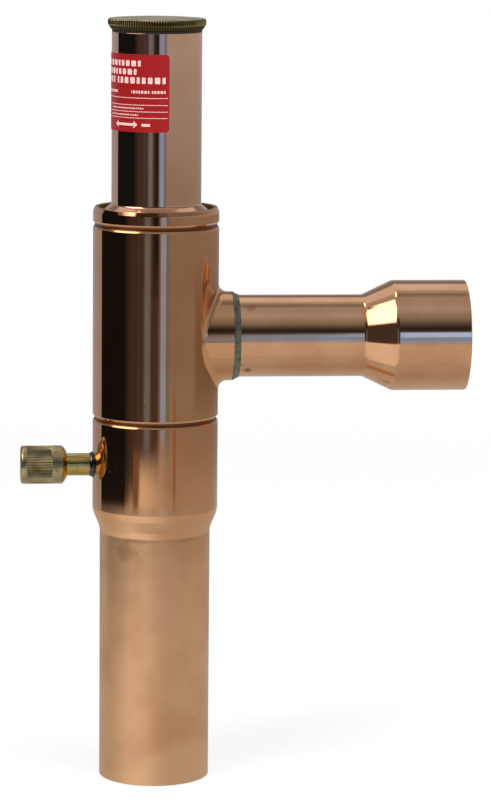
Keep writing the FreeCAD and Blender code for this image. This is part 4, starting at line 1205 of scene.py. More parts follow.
@dataclass
class CopperBody:
    """The drawn tube from the inlet socket to the lip, with its pulled collar."""

    socket_radius: float = 17.55
    socket_depth: float = 25.0
    stop_radius: float = 17.1
    tube_radius: float = 18.75
    neck_low: float = 86.3
    neck_high: float = 92.4
    neck_bore_high: float = 94.0
    neck_round: float = 7.0
    body_radius: float = 21.25
    body_bore: float = 19.75
    grooves: tuple[float, float] = (124.3, 190.0)
    groove: Groove = Groove(1.2, 0.75)
    top: float = 195.8
    lip_height: float = 1.5
    lip_roll: float = 0.55
    edge: float = 0.25
    outlet_height: float = 151.8
    collar_radius: float = 15.1
    collar_bore: float = 14.0
    collar_reach: float = 25.5
    collar_round: float = 3.0
    columns: int = 144
    patch_columns: int = 27
    patch_half_height: float = 22.0
    patch_rows: int = 40
    patch_steps: int = 10
    round_steps: int = 12

    def corners(self) -> list[Corner]:
        """The tube's outline: up the outside and down the inside."""
        lip = self.top - self.lip_height
        outside = [
            Corner(self.socket_radius, 0.0, self.edge),
            Corner(self.tube_radius, 0.0, self.edge),
            Corner(self.tube_radius, self.neck_low, self.neck_round),
            Corner(self.body_radius, self.neck_high, self.neck_round),
            *self.groove.corners(self.body_radius, self.grooves[0], True),
            *self.groove.corners(self.body_radius, self.grooves[1], True),
            Corner(self.body_radius, lip, 1.5),
            Corner(self.body_radius - self.lip_roll, self.top, self.edge),
        ]
        inside = [
            Corner(self.body_bore - self.lip_roll, self.top, self.edge),
            Corner(self.body_bore, lip, 1.5),
            *self.groove.corners(self.body_bore, self.grooves[1], False),
            *self.groove.corners(self.body_bore, self.grooves[0], False),
            Corner(self.body_bore, self.neck_bore_high, 3.0),
            Corner(self.stop_radius, self.neck_low, 3.0),
            Corner(self.stop_radius, self.socket_depth),
            Corner(self.socket_radius, self.socket_depth),
        ]
        return outside + inside

    def mesh(self) -> Mesh:
        """The whole tube, with the collar blended into both walls."""
        low = self.outlet_height - self.patch_half_height
        high = self.outlet_height + self.patch_half_height
        levels = [low + (high - low) * row / self.patch_rows for row in range(self.patch_rows + 1)]
        points = levels_between(rounded_outline(self.corners()), levels)
        columns = even_columns(self.columns)
        patch = list(range(-self.patch_columns, self.patch_columns + 1))

        def cut_out(row: int, column: int) -> bool:
            """Whether a face lies in the window that the collar's own faces fill."""
            start, end = points[row], points[(row + 1) % len(points)]
            upright = abs(start.across - end.across) < SAME_PLACE
            wall = upright and start.across > self.stop_radius + 1.0
            middle = (start.up + end.up) / 2
            signed = (column + self.columns // 2) % self.columns - self.columns // 2
            beside = -self.patch_columns <= signed < self.patch_columns
            return wall and low < middle < high and beside

        draft = MeshDraft()
        rows = turn_outline(draft, points, columns, cut_out)
        mouths = []
        for wall, branch, inner in (
            (self.body_radius, self.collar_radius, False),
            (self.body_bore, self.collar_bore, True),
        ):
            border = self._border(points, rows, wall, levels, patch)
            mouths.append(self._collar(draft, border, wall, branch, inner))
        ahead = (1.0, 0.0, 0.0)
        outer, inner = mouths
        for number in range(len(outer)):
            beside = (number + 1) % len(outer)
            rim = (inner[number], inner[beside], outer[beside], outer[number])
            draft.face(rim, [ahead] * len(rim))
        return draft.build("body_tube")

    def _border(
        self,
        points: Sequence[OutlinePoint],
        rows: Sequence[Sequence[int]],
        wall: float,
        levels: Sequence[float],
        patch: Sequence[int],
    ) -> list[tuple[int, float, float]]:
        """Walks round the window's edge on one wall, clockwise from its top.

        Args:
            points: the tube's outline.
            rows: its vertices, by row and column.
            wall: radius of the wall.
            levels: heights of the window's rows.
            patch: numbers of its columns.

        Returns:
            The vertex, arc length and height of each of its places.
        """
        at_level = {}
        for number, point in enumerate(points):
            if abs(point.across - wall) < SAME_PLACE:
                at_level.setdefault(round(point.up, 4), number)
        row_of = [at_level[round(level, 4)] for level in levels]
        top, bottom = row_of[-1], row_of[0]
        right, left = patch[-1], patch[0]
        walk = [(top, column) for column in range(0, right + 1)]
        walk += [(row, right) for row in reversed(row_of[1:-1])]
        walk += [(bottom, column) for column in range(right, left - 1, -1)]
        walk += [(row, left) for row in row_of[1:-1]]
        walk += [(top, column) for column in range(left, 0)]
        return [
            (
                rows[row][column % self.columns],
                wall * FULL_TURN * column / self.columns,
                points[row].up - self.outlet_height,
            )
            for row, column in walk
        ]

    def _collar(
        self,
        draft: MeshDraft,
        border: Sequence[tuple[int, float, float]],
        wall: float,
        branch: float,
        inner: bool,
    ) -> list[int]:
        """Fills a window with the wall, the rounded crossing and the branch.

        Args:
            draft: the mesh.
            border: the window's edge.
            wall: radius of the body's wall.
            branch: radius of the branch.
            inner: whether this is the bore's side, whose normals point inwards.

        Returns:
            The vertices of the branch's mouth.
        """
        lines: list[list[int]] = []
        normals: list[list[Place]] = []
        away = self.collar_round + branch
        ball = self.collar_round + wall
        side = 1.0 if inner else -1.0
        for vertex, arc, rise in border:
            turn = math.atan2(arc, rise)
            across, up = away * math.sin(turn), away * math.cos(turn)
            depth = math.sqrt(ball**2 - across**2)
            centre = np.array((depth, across, up + self.outlet_height))
            to_wall = np.array((-depth / ball, -across / ball, 0.0))
            to_branch = np.array((0.0, -math.sin(turn), -math.cos(turn)))
            mouth = centre + self.collar_round * to_branch
            mouth[0] = self.collar_reach
            places, facing = [mouth], [side * to_branch]
            between = math.acos(float(np.clip(to_wall @ to_branch, -1.0, 1.0)))
            for step in range(self.round_steps + 1):
                share = step / self.round_steps
                start, end = math.sin((1 - share) * between), math.sin(share * between)
                mixed = (start * to_branch + end * to_wall) / math.sin(between)
                places.append(centre + self.collar_round * mixed)
                facing.append(side * mixed)
            start_arc = wall * math.asin(across / ball)
            for step in range(1, self.patch_steps):
                share = step / self.patch_steps
                angle = (start_arc + (arc - start_arc) * share) / wall
                level = up + (rise - up) * share
                radial = np.array((math.cos(angle), math.sin(angle), 0.0))
                places.append(radial * wall + np.array((0.0, 0.0, level + self.outlet_height)))
                facing.append(-side * radial)
            angle = arc / wall
            facing.append(-side * np.array((math.cos(angle), math.sin(angle), 0.0)))
            lines.append([draft.vertex(place) for place in places] + [vertex])
            normals.append([tuple(item) for item in facing])
        for number in range(len(lines)):
            beside = (number + 1) % len(lines)
            for step in range(len(lines[0]) - 1):
                loop = [(number, step), (beside, step), (beside, step + 1), (number, step + 1)]
                if inner:
                    loop.reverse()
                draft.face(
                    [lines[line][place] for line, place in loop],
                    [normals[line][place] for line, place in loop],
                )
        return [line[0] for line in lines]

    def make(self, shop: Workshop) -> None:
        """Builds the tube."""
        dress(
            self.mesh(),
            "copper_body",
            BUFFED_COPPER,
            Body.HOUSING,
            ["body_tube"],
        )


@dataclass
class OutletBranch:
    """The branch tube with its swaged socket, and the braze that holds it."""

    height: float = 151.8
    start: float = 21.0
    radius: float = 13.9
    bore: float = 12.7
    swage_start: float = 70.1
    swage_end: float = 80.3
    swage_round: float = 3.0
    socket_radius: float = 18.75
    socket_bore: float = 17.55
    reach: float = 105.3
    edge: float = 0.3
    braze_start: float = 25.5
    braze_end: float = 27.9
    collar_radius: float = 15.1

    def make(self, shop: Workshop) -> None:
        """Builds the tube and the braze."""
        corners = [
            Corner(self.bore, self.start, self.edge),
            Corner(self.radius, self.start, self.edge),
            Corner(self.radius, self.swage_start, self.swage_round),
            Corner(self.socket_radius, self.swage_end, self.swage_round),
            Corner(self.socket_radius, self.reach, self.edge),
            Corner(self.socket_bore, self.reach, self.edge),
            Corner(self.socket_bore, self.swage_end, 1.0),
            Corner(self.bore, self.swage_start, 2.0),
        ]
        tube = shop.turned(corners, Along.OUTLET, self.height)
        dress(tube, "branch_tube", DRAWN_COPPER, Body.HOUSING, ["outlet_stub"])
        inner = self.radius + 0.05
        ring = [
            Corner(inner, self.braze_start),
            Corner(self.collar_radius - 0.1, self.braze_start, 0.1),
            Corner(self.collar_radius, self.braze_start + 0.5, 0.4),
            Corner(inner + 0.45, self.braze_end - 0.9, 1.6),
            Corner(inner + 0.15, self.braze_end, 0.1),
            Corner(inner, self.braze_end),
        ]
        braze = shop.turned(ring, Along.OUTLET, self.height)
        dress(braze, "braze_ring", BRAZED_ALLOY, Body.HOUSING, ["outlet_braze"])


@dataclass
class Bonnet:
    """The spring housing above the body, and the threaded sleeve in its mouth."""

    radius: float = 15.1
    bore: float = 13.9
    skirt_radius: float = 19.65
    skirt_bore: float = 18.45
    skirt_bottom: float = 184.0
    skirt_top: float = 193.3
    shoulder: float = 196.7
    shoulder_round: float = 1.2
    wall_drop: float = 0.6
    groove_height: float = 190.0
    groove: Groove = Groove(1.3, 0.75)
    top: float = 254.4
    edge: float = 0.2
    sleeve_bore: float = 10.5
    sleeve_bottom: float = 234.0
    thread_pitch: float = 1.5
    thread_depth: float = 0.7

    def make(self, shop: Workshop) -> None:
        """Builds the bonnet and the sleeve."""
        outside = [
            Corner(self.bore, self.top, self.edge),
            Corner(self.bore, self.shoulder - self.wall_drop, 1.0),
            Corner(self.skirt_bore, self.skirt_top - self.wall_drop, 0.6),
            *self.groove.corners(self.skirt_bore, self.groove_height, False),
            Corner(self.skirt_bore, self.skirt_bottom, self.edge),
            Corner(self.skirt_radius, self.skirt_bottom, self.edge),
            *self.groove.corners(self.skirt_radius, self.groove_height, True),
            Corner(self.skirt_radius, self.skirt_top, self.shoulder_round),
            Corner(self.radius, self.shoulder, self.shoulder_round),
            Corner(self.radius, self.top, self.edge),
        ]
        dress(
            shop.turned(outside),
            "bonnet_tube",
            BUFFED_BONNET_COPPER,
            Body.HOUSING,
            ["bonnet"],
        )
        pitch, depth = self.thread_pitch, self.thread_depth
        thread = Ridges.thread(self.sleeve_bore, pitch, depth, self.sleeve_bottom, self.top, 1.0)
        sleeve = shop.turned(
            block(self.sleeve_bore, self.bore - 0.1, self.sleeve_bottom, self.top, 0.3),
            columns=72,
            bands=[thread],
            levels=steps(self.sleeve_bottom, self.top, pitch / ROWS_PER_RIDGE),
        )
        dress(sleeve, "bonnet_sleeve", TURNED_BRASS, Body.HOUSING, ["threaded_sleeve"])


@dataclass
class RatingLabel:
    """The red film round the bonnet, with plain bars and marks in place of print.

    Places on the label are an arc length in millimetres, measured leftwards from its right edge,
    and a height above its lower edge.
    """

    radius: float = 15.15
    thickness: float = 0.15
    low: float = 221.8
    height: float = 25.7
    right_edge: float = 12.0
    sweep: float = 175.0
    corner: float = 1.3
    ink: float = 0.02
    step: float = 0.5

    def angle(self, arc: float) -> float:
        """The angle in radians about the body, for an arc length from the right edge."""
        start = math.radians(270.0 + self.right_edge)
        return start - arc / (self.radius + self.thickness)

    def shape(
        self, draft: MeshDraft, outline: Sequence[Point], inner: float, outer: float
    ) -> None:
        """Wraps a flat shape round the bonnet as a closed sheet.

        Args:
            draft: the mesh.
            outline: the shape's corners as points (arc, height), in order round it.
            inner: radius of its underside.
            outer: radius of its face.
        """
        flat = bmesh.new()
        corners = [flat.verts.new((arc, rise, 0.0)) for arc, rise in outline]
        flat.faces.new(corners)
        arcs = [point[0] for point in outline]
        for cut in steps(min(arcs), max(arcs), self.step)[1:-1]:
            geometry = flat.verts[:] + flat.edges[:] + flat.faces[:]
            bmesh.ops.bisect_plane(
                flat, geom=geometry, plane_co=(cut, 0.0, 0.0), plane_no=(1.0, 0.0, 0.0)
            )
        flat.verts.index_update()
        flat.normal_update()
        layers = []
        for radius in (inner, outer):
            numbers = {}
            for vertex in flat.verts:
                turn = self.angle(vertex.co.x)
                place = (radius * math.cos(turn), radius * math.sin(turn), self.low + vertex.co.y)
                numbers[vertex.index] = draft.vertex(place)
            layers.append(numbers)
        under, face = layers

        def radial(vertex: bmesh.types.BMVert, sign: float) -> Place:
            """The normal of the sheet at a vertex."""
            turn = self.angle(vertex.co.x)
            return (sign * math.cos(turn), sign * math.sin(turn), 0.0)

        for item in flat.faces:
            loop = list(item.verts)
            if item.normal.z > 0.0:
                loop.reverse()
            draft.face([face[v.index] for v in loop], [radial(v, 1.0) for v in loop])
            loop.reverse()
            draft.face([under[v.index] for v in loop], [radial(v, -1.0) for v in loop])
        for edge in flat.edges:
            if not edge.is_boundary:
                continue
            first, second = edge.verts
            if edge.link_loops[0].vert != first:
                first, second = second, first
            if edge.link_faces[0].normal.z > 0.0:
                first, second = second, first
            ring = [face[second.index], face[first.index], under[first.index], under[second.index]]
            places = [Vector(draft.places[number]) for number in ring]
            normal = (places[1] - places[0]).cross(places[2] - places[1]).normalized()
            draft.face(ring, [tuple(normal)] * 4)
        flat.free()

    def rounded(
        self, left: float, right: float, low: float, high: float, radius: float
    ) -> list[Point]:
        """A rectangle with rounded corners, as points (arc, height)."""
        points: list[Point] = []
        middles = (
            (right + radius, low + radius, 180.0),
            (left - radius, low + radius, 270.0),
            (left - radius, high - radius, 0.0),
            (right + radius, high - radius, 90.0),
        )
        for arc, rise, start in middles:
            for step in range(7):
                turn = math.radians(start + 15.0 * step)
                points.append((arc + radius * math.cos(turn), rise + radius * math.sin(turn)))
        return points

    def bar(self, left: float, right: float, middle: float, thick: float) -> list[Point]:
        """A plain bar."""
        corner = 0.2 * min(thick, left - right)
        return self.rounded(left, right, middle - thick / 2, middle + thick / 2, corner)

    def print_shapes(self) -> list[list[Point]]:
        """Rows of blocks in place of words, ruled lines, a double arrow and a minus sign."""
        full = math.radians(self.sweep) * (self.radius + self.thickness)
        shapes: list[list[Point]] = []
        # a row's middle and thickness, its blocks' breadth, and both ends of each of its words
        for middle, thick, block, words in (
            (22.7, 1.9, 1.45, ((43.0, 9.7),)),
            (19.9, 1.9, 1.45, ((43.0, 11.2),)),
            (17.1, 2.1, 1.5, ((43.0, 21.5), (19.7, 1.3))),
            (13.3, 0.95, 0.7, ((43.0, 19.6), (13.1, 6.7), (6.0, 1.3))),
            (7.9, 0.5, 0.5, ((24.0, 8.7),)),
            (5.7, 0.5, 0.5, ((24.0, 10.6),)),
        ):
            for left, right in words:
                shapes += self.row_of_blocks(left, right, middle, thick, block)
        for middle in (11.3, 9.0, 6.8, 4.7):
            shapes.append(self.bar(full - 0.6, 0.5, middle, 0.2))
        shapes += self.double_arrow(20.6, 10.8, 2.5)
        shapes.append(self.bar(9.35, 6.4, 2.4, 0.9))
        return shapes

    def row_of_blocks(
        self, left: float, right: float, middle: float, thick: float, block: float
    ) -> list[list[Point]]:
        """A row of plain upright blocks of uneven breadth, filling a span as print would.

        Args:
            left: the span's left end, as an arc length.
            right: its right end.
            middle: height of the row's middle.
            thick: height of the blocks.
            block: usual breadth of a block.

        Returns:
            The blocks' outlines.
        """
        shapes: list[list[Point]] = []
        place = right
        number = 0
        while place + 0.4 * block < left:
            breadth = block * (0.7 + 0.17 * ((number * 7) % 4))
            edge = min(place + breadth, left)
            shapes.append(self.bar(edge, place, middle, thick))
            place = edge + 0.5 * block
            number += 1
        return shapes

    def double_arrow(self, left: float, right: float, middle: float) -> list[list[Point]]:
        """A line with a plain head at each end."""
        head, half, shaft = 1.5, 1.2, 0.42
        line = self.bar(left - head, right + head, middle, 2 * shaft)
        pointing_left = [(left, middle), (left - head, middle + half), (left - head, middle - half)]
        pointing_right = [
            (right, middle), (right + head, middle - half), (right + head, middle + half)
        ]
        return [line, pointing_left, pointing_right]

    def make(self, shop: Workshop) -> None:
        """Builds the film and its print."""
        arc = math.radians(self.sweep) * (self.radius + self.thickness)
        film = MeshDraft()
        outline = self.rounded(arc, 0.0, 0.0, self.height, self.corner)
        self.shape(film, outline, self.radius, self.radius + self.thickness)
        dress(
            film.build("film"), "label_film", VINYL_FILM, Body.HOUSING, ["rating_label"]
        )
        ink = MeshDraft()
        face = self.radius + self.thickness
        for shape in self.print_shapes():
            self.shape(ink, shape, face + 0.005, face + self.ink)
        dress(ink.build("ink"), "label_print", PRINTING_INK, Body.HOUSING)


@dataclass
class GaugePort:
    """The brass port on the body's left with its braze, valve core and knurled cap."""

    height: float = 107.9
    stem_radius: float = 3.8
    start: float = 18.5
    shoulder: float = 30.1
    foot_radius: float = 4.5
    face: float = 31.4
    thread_radius: float = 5.4
    thread_end: float = 40.5
    nose: float = 41.5
    end: float = 43.9
    nose_radius: float = 3.2
    core_radius: float = 2.4
    pocket: float = 33.8
    passage: float = 1.5
    thread_pitch: float = 1.0
    thread_depth: float = 0.5
    cap_radius: float = 6.48
    cap_bore: float = 5.5
    cap_mouth: float = 31.5
    cap_floor: float = 44.6
    cap_top: float = 45.7
    cap_round: float = 1.0
    knurl_count: int = 42
    knurl_depth: float = 0.4
    tooth_columns: int = 8
    knurl_low: float = 35.0
    knurl_high: float = 43.6
    spring_mean: float = 1.225
    spring_wire: float = 0.2
    spring_start: float = 37.3
    spring_end: float = 40.9
    spring_turns: float = 4.0

    def stub_corners(self) -> list[Corner]:
        """The port's outline, from its passage out over the thread to the flare nose."""
        return [
            Corner(self.passage, self.start, 0.1),
            Corner(self.stem_radius, self.start, 0.2),
            Corner(self.stem_radius, self.shoulder, 0.2),
            Corner(self.foot_radius, self.shoulder, 0.1),
            Corner(self.cap_radius - 0.1, self.face, 0.15),
            Corner(self.thread_radius, self.face),
            Corner(self.thread_radius, self.thread_end, 0.2),
            Corner(self.thread_radius - 1.0, self.thread_end),
            Corner(self.thread_radius - 1.0, self.nose),
            Corner(self.thread_radius - 0.4, self.nose, 0.1),
            Corner(self.nose_radius, self.end, 0.1),
            Corner(self.core_radius, self.end, 0.1),
            Corner(self.core_radius, self.pocket),
            Corner(self.passage, self.pocket),
        ]

    def cap_corners(self) -> list[Corner]:
        """The cap's outline."""
        return [
            Corner(self.cap_bore, self.cap_mouth, 0.15),
            Corner(self.cap_radius, self.cap_mouth, 0.3),
            Corner(self.cap_radius, self.cap_top, self.cap_round),
            Corner(0.0, self.cap_top),
            Corner(0.0, self.cap_floor),
            Corner(self.cap_bore, self.cap_floor, 0.3),
        ]

    def make(self, shop: Workshop) -> None:
        """Builds the port from the body outwards."""
        pitch, depth = self.thread_pitch, -self.thread_depth
        thread = Ridges.thread(self.thread_radius, pitch, depth, self.face, self.thread_end, 0.8)
        stub = shop.turned(
            self.stub_corners(),
            Along.GAUGE,
            self.height,
            columns=64,
            bands=[thread],
            levels=steps(self.face, self.thread_end, pitch / ROWS_PER_RIDGE),
        )
        dress(stub, "port_stub", TURNED_BRASS, Body.HOUSING, ["gauge_stub"])
        braze = weighted_copy("gauge_braze")
        dress(braze, "port_braze", FLUXED_ALLOY, Body.HOUSING, ["gauge_braze"])
        knurl = Ridges(
            count=self.knurl_count,
            pitch=0.0,
            depth=-self.knurl_depth,
            low=self.knurl_low,
            high=self.knurl_high,
            inner=self.cap_radius - 0.2,
            outer=self.cap_radius + 0.2,
            run_out=0.3,
        )
        cap = shop.turned(
            self.cap_corners(),
            Along.GAUGE,
            self.height,
            columns=self.knurl_count * self.tooth_columns,
            bands=[knurl],
            levels=[self.knurl_low, self.knurl_low + 0.3, self.knurl_high - 0.3, self.knurl_high],
            finish=HANDLED_BRASS,
        )
        dress(cap, "port_knurled_cap", HANDLED_BRASS, Body.PORT_CAP, ["gauge_cap"])
        self._core(shop)

    def _core(self, shop: Workshop) -> None:
        """Dresses the valve core and winds its spring."""
        for node, finish, slot, body in (
            ("core_body", TURNED_BRASS, Slot.BRASS, Body.HOUSING),
            ("core_pin", TURNED_BRASS, Slot.BRASS, Body.CORE),
            ("core_seal", NITRILE_RUBBER, Slot.SEAL, Body.CORE),
            ("gauge_cap_gasket", NITRILE_RUBBER, Slot.SEAL, Body.PORT_CAP_SEAL),
        ):
            dress(weighted_copy(node), f"{node}_finished", finish, body, [node])
        start, end = ((-reach, 0.0, self.height) for reach in (self.spring_start, self.spring_end))
        coil = shop.coiled(
            self.spring_mean,
            self.spring_wire,
            self.spring_start,
            self.spring_end - self.spring_start,
            self.spring_turns,
            Along.GAUGE,
            self.height,
            sides=10,
        )
        stretch = Stretch(Body.CORE, start, end)
        dress(coil, "core_coil", SPRING_STEEL, Body.HOUSING, ["core_spring"], stretch)


@dataclass
class ScrewCap:
    """The brass cap on the bonnet, its gasket and the plug that screws into the sleeve."""

    radius: float = 16.44
    underside: float = 255.2
    bevel: float = 1.1
    band_low: float = 256.8
    band_high: float = 258.1
    rim_top: float = 258.75
    top: float = 259.0
    crown: float = 12.44
    edge: float = 0.4
    plug_radius: float = 10.4
    plug_bore: float = 8.0
    plug_bottom: float = 247.4
    thread_pitch: float = 1.5
    thread_depth: float = 0.7
    gasket_bore: float = 10.8
    gasket_radius: float = 15.1
    gasket_low: float = 254.4
    gasket_edge: float = 0.15
    # the real rim has about 138 teeth; fewer and deeper ones are drawn, so that they show
    knurl_count: int = 114
    knurl_depth: float = 0.5
    tooth_columns: int = 5

    def corners(self) -> list[Corner]:
        """The cap's outline, from the plug's bore out to the rim and over the crown."""
        return [
            Corner(0.0, self.underside),
            Corner(self.plug_bore, self.underside, 0.3),
            Corner(self.plug_bore, self.plug_bottom, 0.2),
            Corner(self.plug_radius, self.plug_bottom, self.edge),
            Corner(self.plug_radius, self.underside, 0.1),
            Corner(self.radius - self.bevel, self.underside, 0.3),
            Corner(self.radius, self.band_low, 0.8),
            Corner(self.radius, self.band_high, 0.15),
            Corner(self.radius - self.edge, self.rim_top, 0.2),
            Corner(self.crown, self.top, 3.0),
            Corner(0.0, self.top),
        ]

    def make(self, shop: Workshop) -> None:
        """Builds the cap and its gasket."""
        knurl = Ridges(
            count=self.knurl_count,
            pitch=0.0,
            depth=-self.knurl_depth,
            low=self.underside + 0.1,
            high=self.rim_top - 0.1,
            inner=self.radius - self.bevel - 0.1,
            outer=self.radius + 0.2,
            run_out=0.25,
        )
        low, high = self.plug_bottom, self.underside
        pitch, depth = self.thread_pitch, -self.thread_depth
        thread = Ridges.thread(self.plug_radius, pitch, depth, low, high, 0.6)
        levels = steps(low, high, pitch / ROWS_PER_RIDGE)
        cap = shop.turned(
            self.corners(),
            columns=self.knurl_count * self.tooth_columns,
            bands=[knurl, thread],
            levels=levels + steps(self.band_low, self.band_high, 0.4),
            finish=DULL_BRASS,
        )
        dress(cap, "knurled_cap", DULL_BRASS, Body.CAP, ["protective_cap"])
        ring = block(
            self.gasket_bore, self.gasket_radius, self.gasket_low, self.underside, self.gasket_edge
        )
        gasket = shop.turned(ring)
        dress(gasket, "cap_seal_ring", NITRILE_RUBBER, Body.CAP_SEAL, ["cap_gasket"])


@dataclass
class SettingGear:
    """The setting screw, the spring plates and the main spring between them."""

    wire: float = 1.6
    mean: float = 9.6
    low: float = 190.5
    high: float = 227.0
    turns: float = 5.5

    def make(self, shop: Workshop) -> None:
        """Dresses the turned pieces and winds the spring."""
        for node, body in (
            ("setting_screw", Body.SETTING_SCREW),
            ("upper_spring_plate", Body.SETTING_PLATE),
            ("lower_spring_plate", Body.VALVE),
        ):
            dress(weighted_copy(node), f"{node}_finished", TURNED_STEEL, body, [node])
        self._spring(shop)

    def _spring(self, shop: Workshop) -> None:
        """Winds the main spring and cuts it into two lengths, each given the bodies at its ends.

        The lower length lies between the valve and the housing, the upper one between the
        housing and the setting plate. They meet at the spring's middle.
        """
        sides = 16
        span = self.high - self.low
        coil = shop.coiled(self.mean, self.wire, self.low, span, self.turns, sides=sides)
        rings = len(coil.vertices) // sides
        middle = (self.low + self.high) / 2
        low, centre, high = ((0.0, 0.0, height) for height in (self.low, middle, self.high))
        lower = Stretch(Body.HOUSING, low, centre)
        upper = Stretch(Body.SETTING_PLATE, centre, high)
        for name, first, last, body, stretch, replaced in (
            ("main_coil_low", 0, rings // 2, Body.VALVE, lower, ["main_spring"]),
            ("main_coil_high", rings // 2, rings, Body.HOUSING, upper, []),
        ):
            part = part_of_coil(coil, sides, first, last)
            dress(part, name, SPRING_STEEL, body, replaced, stretch)


@dataclass
class ValveGear:
    """The seat, the valve that lifts from it, the bellows above and the dashpot below."""

    cuff_inner: float = 10.2
    cuff_outer: float = 10.5
    cuff_low: float = 139.0
    cuff_high: float = 178.0
    fold_low: float = 142.5
    fold_high: float = 174.5
    fold_pitch: float = 4.0
    fold_depth: float = 3.1

    def make(self, shop: Workshop) -> None:
        """Dresses the pieces that the gas flows past."""
        self._bellows(shop)
        for node, finish, slot, body in (
            ("valve_seat", TURNED_BRASS, Slot.BRASS, Body.HOUSING),
            ("bellows_flange", TURNED_BRASS, Slot.BRASS, Body.HOUSING),
            ("damper_bracket", TURNED_STEEL, Slot.STEEL, Body.HOUSING),
            ("damper_cylinder", TURNED_BRASS, Slot.BRASS, Body.HOUSING),
            ("valve_stem", TURNED_STEEL, Slot.STEEL, Body.VALVE),
            ("valve_plate", TURNED_BRASS, Slot.BRASS, Body.VALVE),
            ("bellows_cup", TURNED_BRASS, Slot.BRASS, Body.VALVE),
            ("damper_piston", TURNED_BRASS, Slot.BRASS, Body.VALVE),
            ("stem_nut", TURNED_STEEL, Slot.STEEL, Body.VALVE),
            ("piston_nut", TURNED_STEEL, Slot.STEEL, Body.VALVE),
        ):
            dress(weighted_copy(node), f"{node}_finished", finish, body, [node])

    def _bellows(self, shop: Workshop) -> None:
        """Folds the thin bronze bellows, which lies between the valve and the housing."""
        folds = Ridges(
            count=0,
            pitch=self.fold_pitch,
            depth=self.fold_depth,
            low=self.fold_low,
            high=self.fold_high,
            inner=self.cuff_inner - 0.1,
            outer=self.cuff_outer + 0.1,
            run_out=0.05,
            roundness=1.0,
        )
        mesh = shop.turned(
            block(self.cuff_inner, self.cuff_outer, self.cuff_low, self.cuff_high),
            columns=72,
            bands=[folds],
            levels=steps(self.fold_low, self.fold_high, 0.2),
            finish=ROLLED_BRONZE,
        )
        low, high = ((0.0, 0.0, height) for height in (self.fold_low, self.fold_high))
        dress(
            smoothed(mesh, FOLD_SHARP),
            "folded_bellows",
            ROLLED_BRONZE,
            Body.VALVE,
            ["bellows"],
            Stretch(Body.HOUSING, low, high),
        )


# Studio


@dataclass(frozen=True)
class Viewpoint:
    """The camera: place in millimetres, turns in degrees, and focal length in image pixels."""

    place: Place = (-77.5, -1164.6, 316.6)
    yaw: float = 5.309
    pitch: float = 9.079
    roll: float = 0.521
    focal: float = 3483.9
    image_height: float = 800.0
    sensor: float = 36.0

    def axes(self) -> Matrix:
        """The camera's own axes as the columns of a turn."""
        yaw, pitch, roll = (math.radians(angle) for angle in (self.yaw, self.pitch, self.roll))
        ahead = Vector(
            (math.sin(yaw) * math.cos(pitch), math.cos(yaw) * math.cos(pitch), -math.sin(pitch))
        )
        level = Vector((math.cos(yaw), -math.sin(yaw), 0.0))
        above = level.cross(ahead)
        right = math.cos(roll) * level + math.sin(roll) * above
        up = math.cos(roll) * above - math.sin(roll) * level
        return Matrix((right, up, -ahead)).transposed()

    def make(self) -> None:
        """Sets up the camera."""
        lens = bpy.data.cameras.new("viewpoint")
        lens.sensor_fit = "VERTICAL"
        lens.sensor_height = self.sensor
        lens.lens = self.sensor * self.focal / self.image_height
        lens.clip_end = 20.0
        camera = bpy.data.objects.new("viewpoint", lens)
        place = Matrix.Translation(Vector(self.place) * MM)
        camera.matrix_world = place @ self.axes().to_4x4()
        bpy.context.scene.collection.objects.link(camera)
        bpy.context.scene.camera = camera


@dataclass(frozen=True)
class Card:
    """A soft-edged patch of the studio, as a mirror would show it, in degrees and hex colour.

    Attributes:
        azimuth: its middle, from the studio's front, which is -Y, towards +X.
        elevation: its middle above the horizon.
        half_width: half of its breadth in azimuth.
        half_height: half of its height.
        side_edge: softness of its sides.
        end_edge: softness of its top and bottom.
        colour: what it shows.
        strength: how far it outshines that colour.
    """

    azimuth: float
    elevation: float
    half_width: float
    half_height: float
    side_edge: float
    end_edge: float
    colour: str
    strength: float = 1.0


@dataclass(frozen=True)
class Level:
    """A height of the studio, in degrees above the horizon, and its hex colour there."""

    elevation: float
    colour: str


